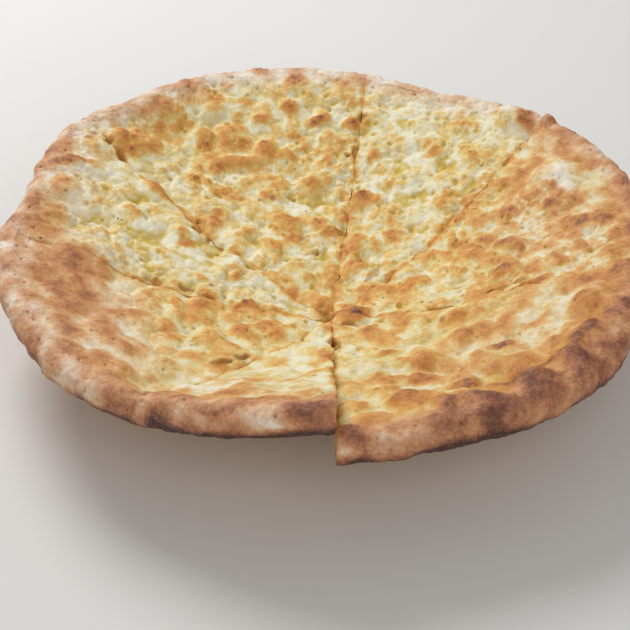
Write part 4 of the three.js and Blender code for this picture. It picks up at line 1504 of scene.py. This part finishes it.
def crumb_finish(groups):
    finish, tree, shader, place = new_finish("bread_crumb")
    browned = group_node(tree, groups["browning"], Browning=attribute(tree, "browning"),
                         Rosy=0.0, Tops=0.6, Variation=0.06, Place=place)
    # Painted shade: the crumb's hollows are darkened as if by their shadow.
    painted_hole_shade = mixed(tree, times(tree, attribute(tree, "hollow"), HOLLOW_SHARE), browned["Color"],
                 PAINTED_HOLLOW_SHADE, "MULTIPLY")
    set_inputs(tree, shader, {"Base Color": painted_hole_shade, "Roughness": 0.85, "Specular IOR Level": 0.25})
    add_grain(tree, shader, groups["grain"], place, pores=0.9, strength=0.6)
    return finish


def floor_finish():
    finish, tree, shader, place = new_finish("pale_floor")
    cloudy = noise(tree, place, FLOOR_CLOUD_SCALE, 3.0)["Fac"]
    shade = mixed(tree, cloudy, *FLOOR_SHADES)
    set_inputs(tree, shader, {"Base Color": shade, "Roughness": 0.8, "Specular IOR Level": 0.2})
    return finish


# ---------------------------------------------------------------- floor, light and camera

FLOOR_HALF = 3.0

# Lights: place, diameter, power, tint.
LIGHTS = {
    "high_light": ((-0.55, 0.75, 1.0), 0.7, 12.2, (1, 1, 1)),
    "front_fill": ((0.3, -1.1, 0.9), 1.2, 5.2, (1, 0.98, 0.96)),
}
LIGHT_AIM = (0, 0, 0.04)
ROOM_TINT = (1, 0.985, 0.96, 1)
ROOM_STRENGTH = 0.36

# The camera looks at the middle of the rim from two thirds of a metre, then is turned a little:
# aside, up and round.
CAMERA_AIM = (0, 0, 49 * MM)
CAMERA_DISTANCE = 677 * MM
CAMERA_ELEVATION = 34
CAMERA_VIEW = 24
CAMERA_TURNS = {"aside": -0.008, "up": -0.055, "round": math.radians(1.72)}


def make_floor():
    corners = [(x * FLOOR_HALF, y * FLOOR_HALF, 0) for x, y in ((-1, -1), (1, -1), (1, 1), (-1, 1))]
    mesh = bpy.data.meshes.new("floor")
    mesh.from_pydata(corners, [], [(0, 1, 2, 3)])
    mesh.materials.append(floor_finish())
    floor = bpy.data.objects.new("floor", mesh)
    bpy.context.scene.collection.objects.link(floor)


def make_lights():
    for name, (place, size, watts, tint) in LIGHTS.items():
        lamp = bpy.data.lights.new(name, "AREA")
        lamp.shape = "DISK"
        lamp.size = size
        lamp.energy = watts
        lamp.color = tint
        holder = bpy.data.objects.new(name, lamp)
        holder.location = place
        towards = Vector(LIGHT_AIM) - Vector(place)
        holder.rotation_euler = towards.to_track_quat("-Z", "Y").to_euler()
        bpy.context.scene.collection.objects.link(holder)
    world = bpy.data.worlds.new("soft_room")
    world.use_nodes = True
    room = {"Color": ROOM_TINT, "Strength": ROOM_STRENGTH}
    set_inputs(world.node_tree, world.node_tree.nodes["Background"], room)
    bpy.context.scene.world = world


def make_camera():
    raised = math.radians(CAMERA_ELEVATION)
    back = Vector((0, -math.cos(raised), math.sin(raised)))
    ahead, right = -back, Vector((1, 0, 0))
    up = right.cross(ahead)

    def turned(first, second, angle):
        cos, sin = math.cos(angle), math.sin(angle)
        return first * cos + second * sin, second * cos - first * sin

    ahead, right = turned(ahead, right, CAMERA_TURNS["aside"])
    ahead, up = turned(ahead, up, CAMERA_TURNS["up"])
    right, up = turned(right, up, CAMERA_TURNS["round"])
    data = bpy.data.cameras.new("camera")
    data.angle = math.radians(CAMERA_VIEW)
    data.clip_start = 0.01
    camera = bpy.data.objects.new("camera", data)
    axes = Matrix((right, up, -ahead)).transposed().to_4x4()
    camera.matrix_world = Matrix.Translation(Vector(CAMERA_AIM) + back * CAMERA_DISTANCE) @ axes
    bpy.context.scene.collection.objects.link(camera)
    bpy.context.scene.camera = camera


# ---------------------------------------------------------------- the whole


def dress_slices():
    groups = {"browning": browning_group(), "flour": flour_group(), "grain": grain_group()}
    crust = crust_finish(groups)
    crumb = crumb_finish(groups)
    relief = relief_tree()
    return {name: run_tree(slice_object(name), relief, crust=crust, crumb=crumb) for name in SLICES}


slice_pieces = dress_slices()
for node_name, slice_piece in slice_pieces.items():
    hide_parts(node_name)
    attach(slice_piece, "root")

make_floor()
make_lights()
make_camera()
bpy.context.scene.view_settings.view_transform = "Standard"
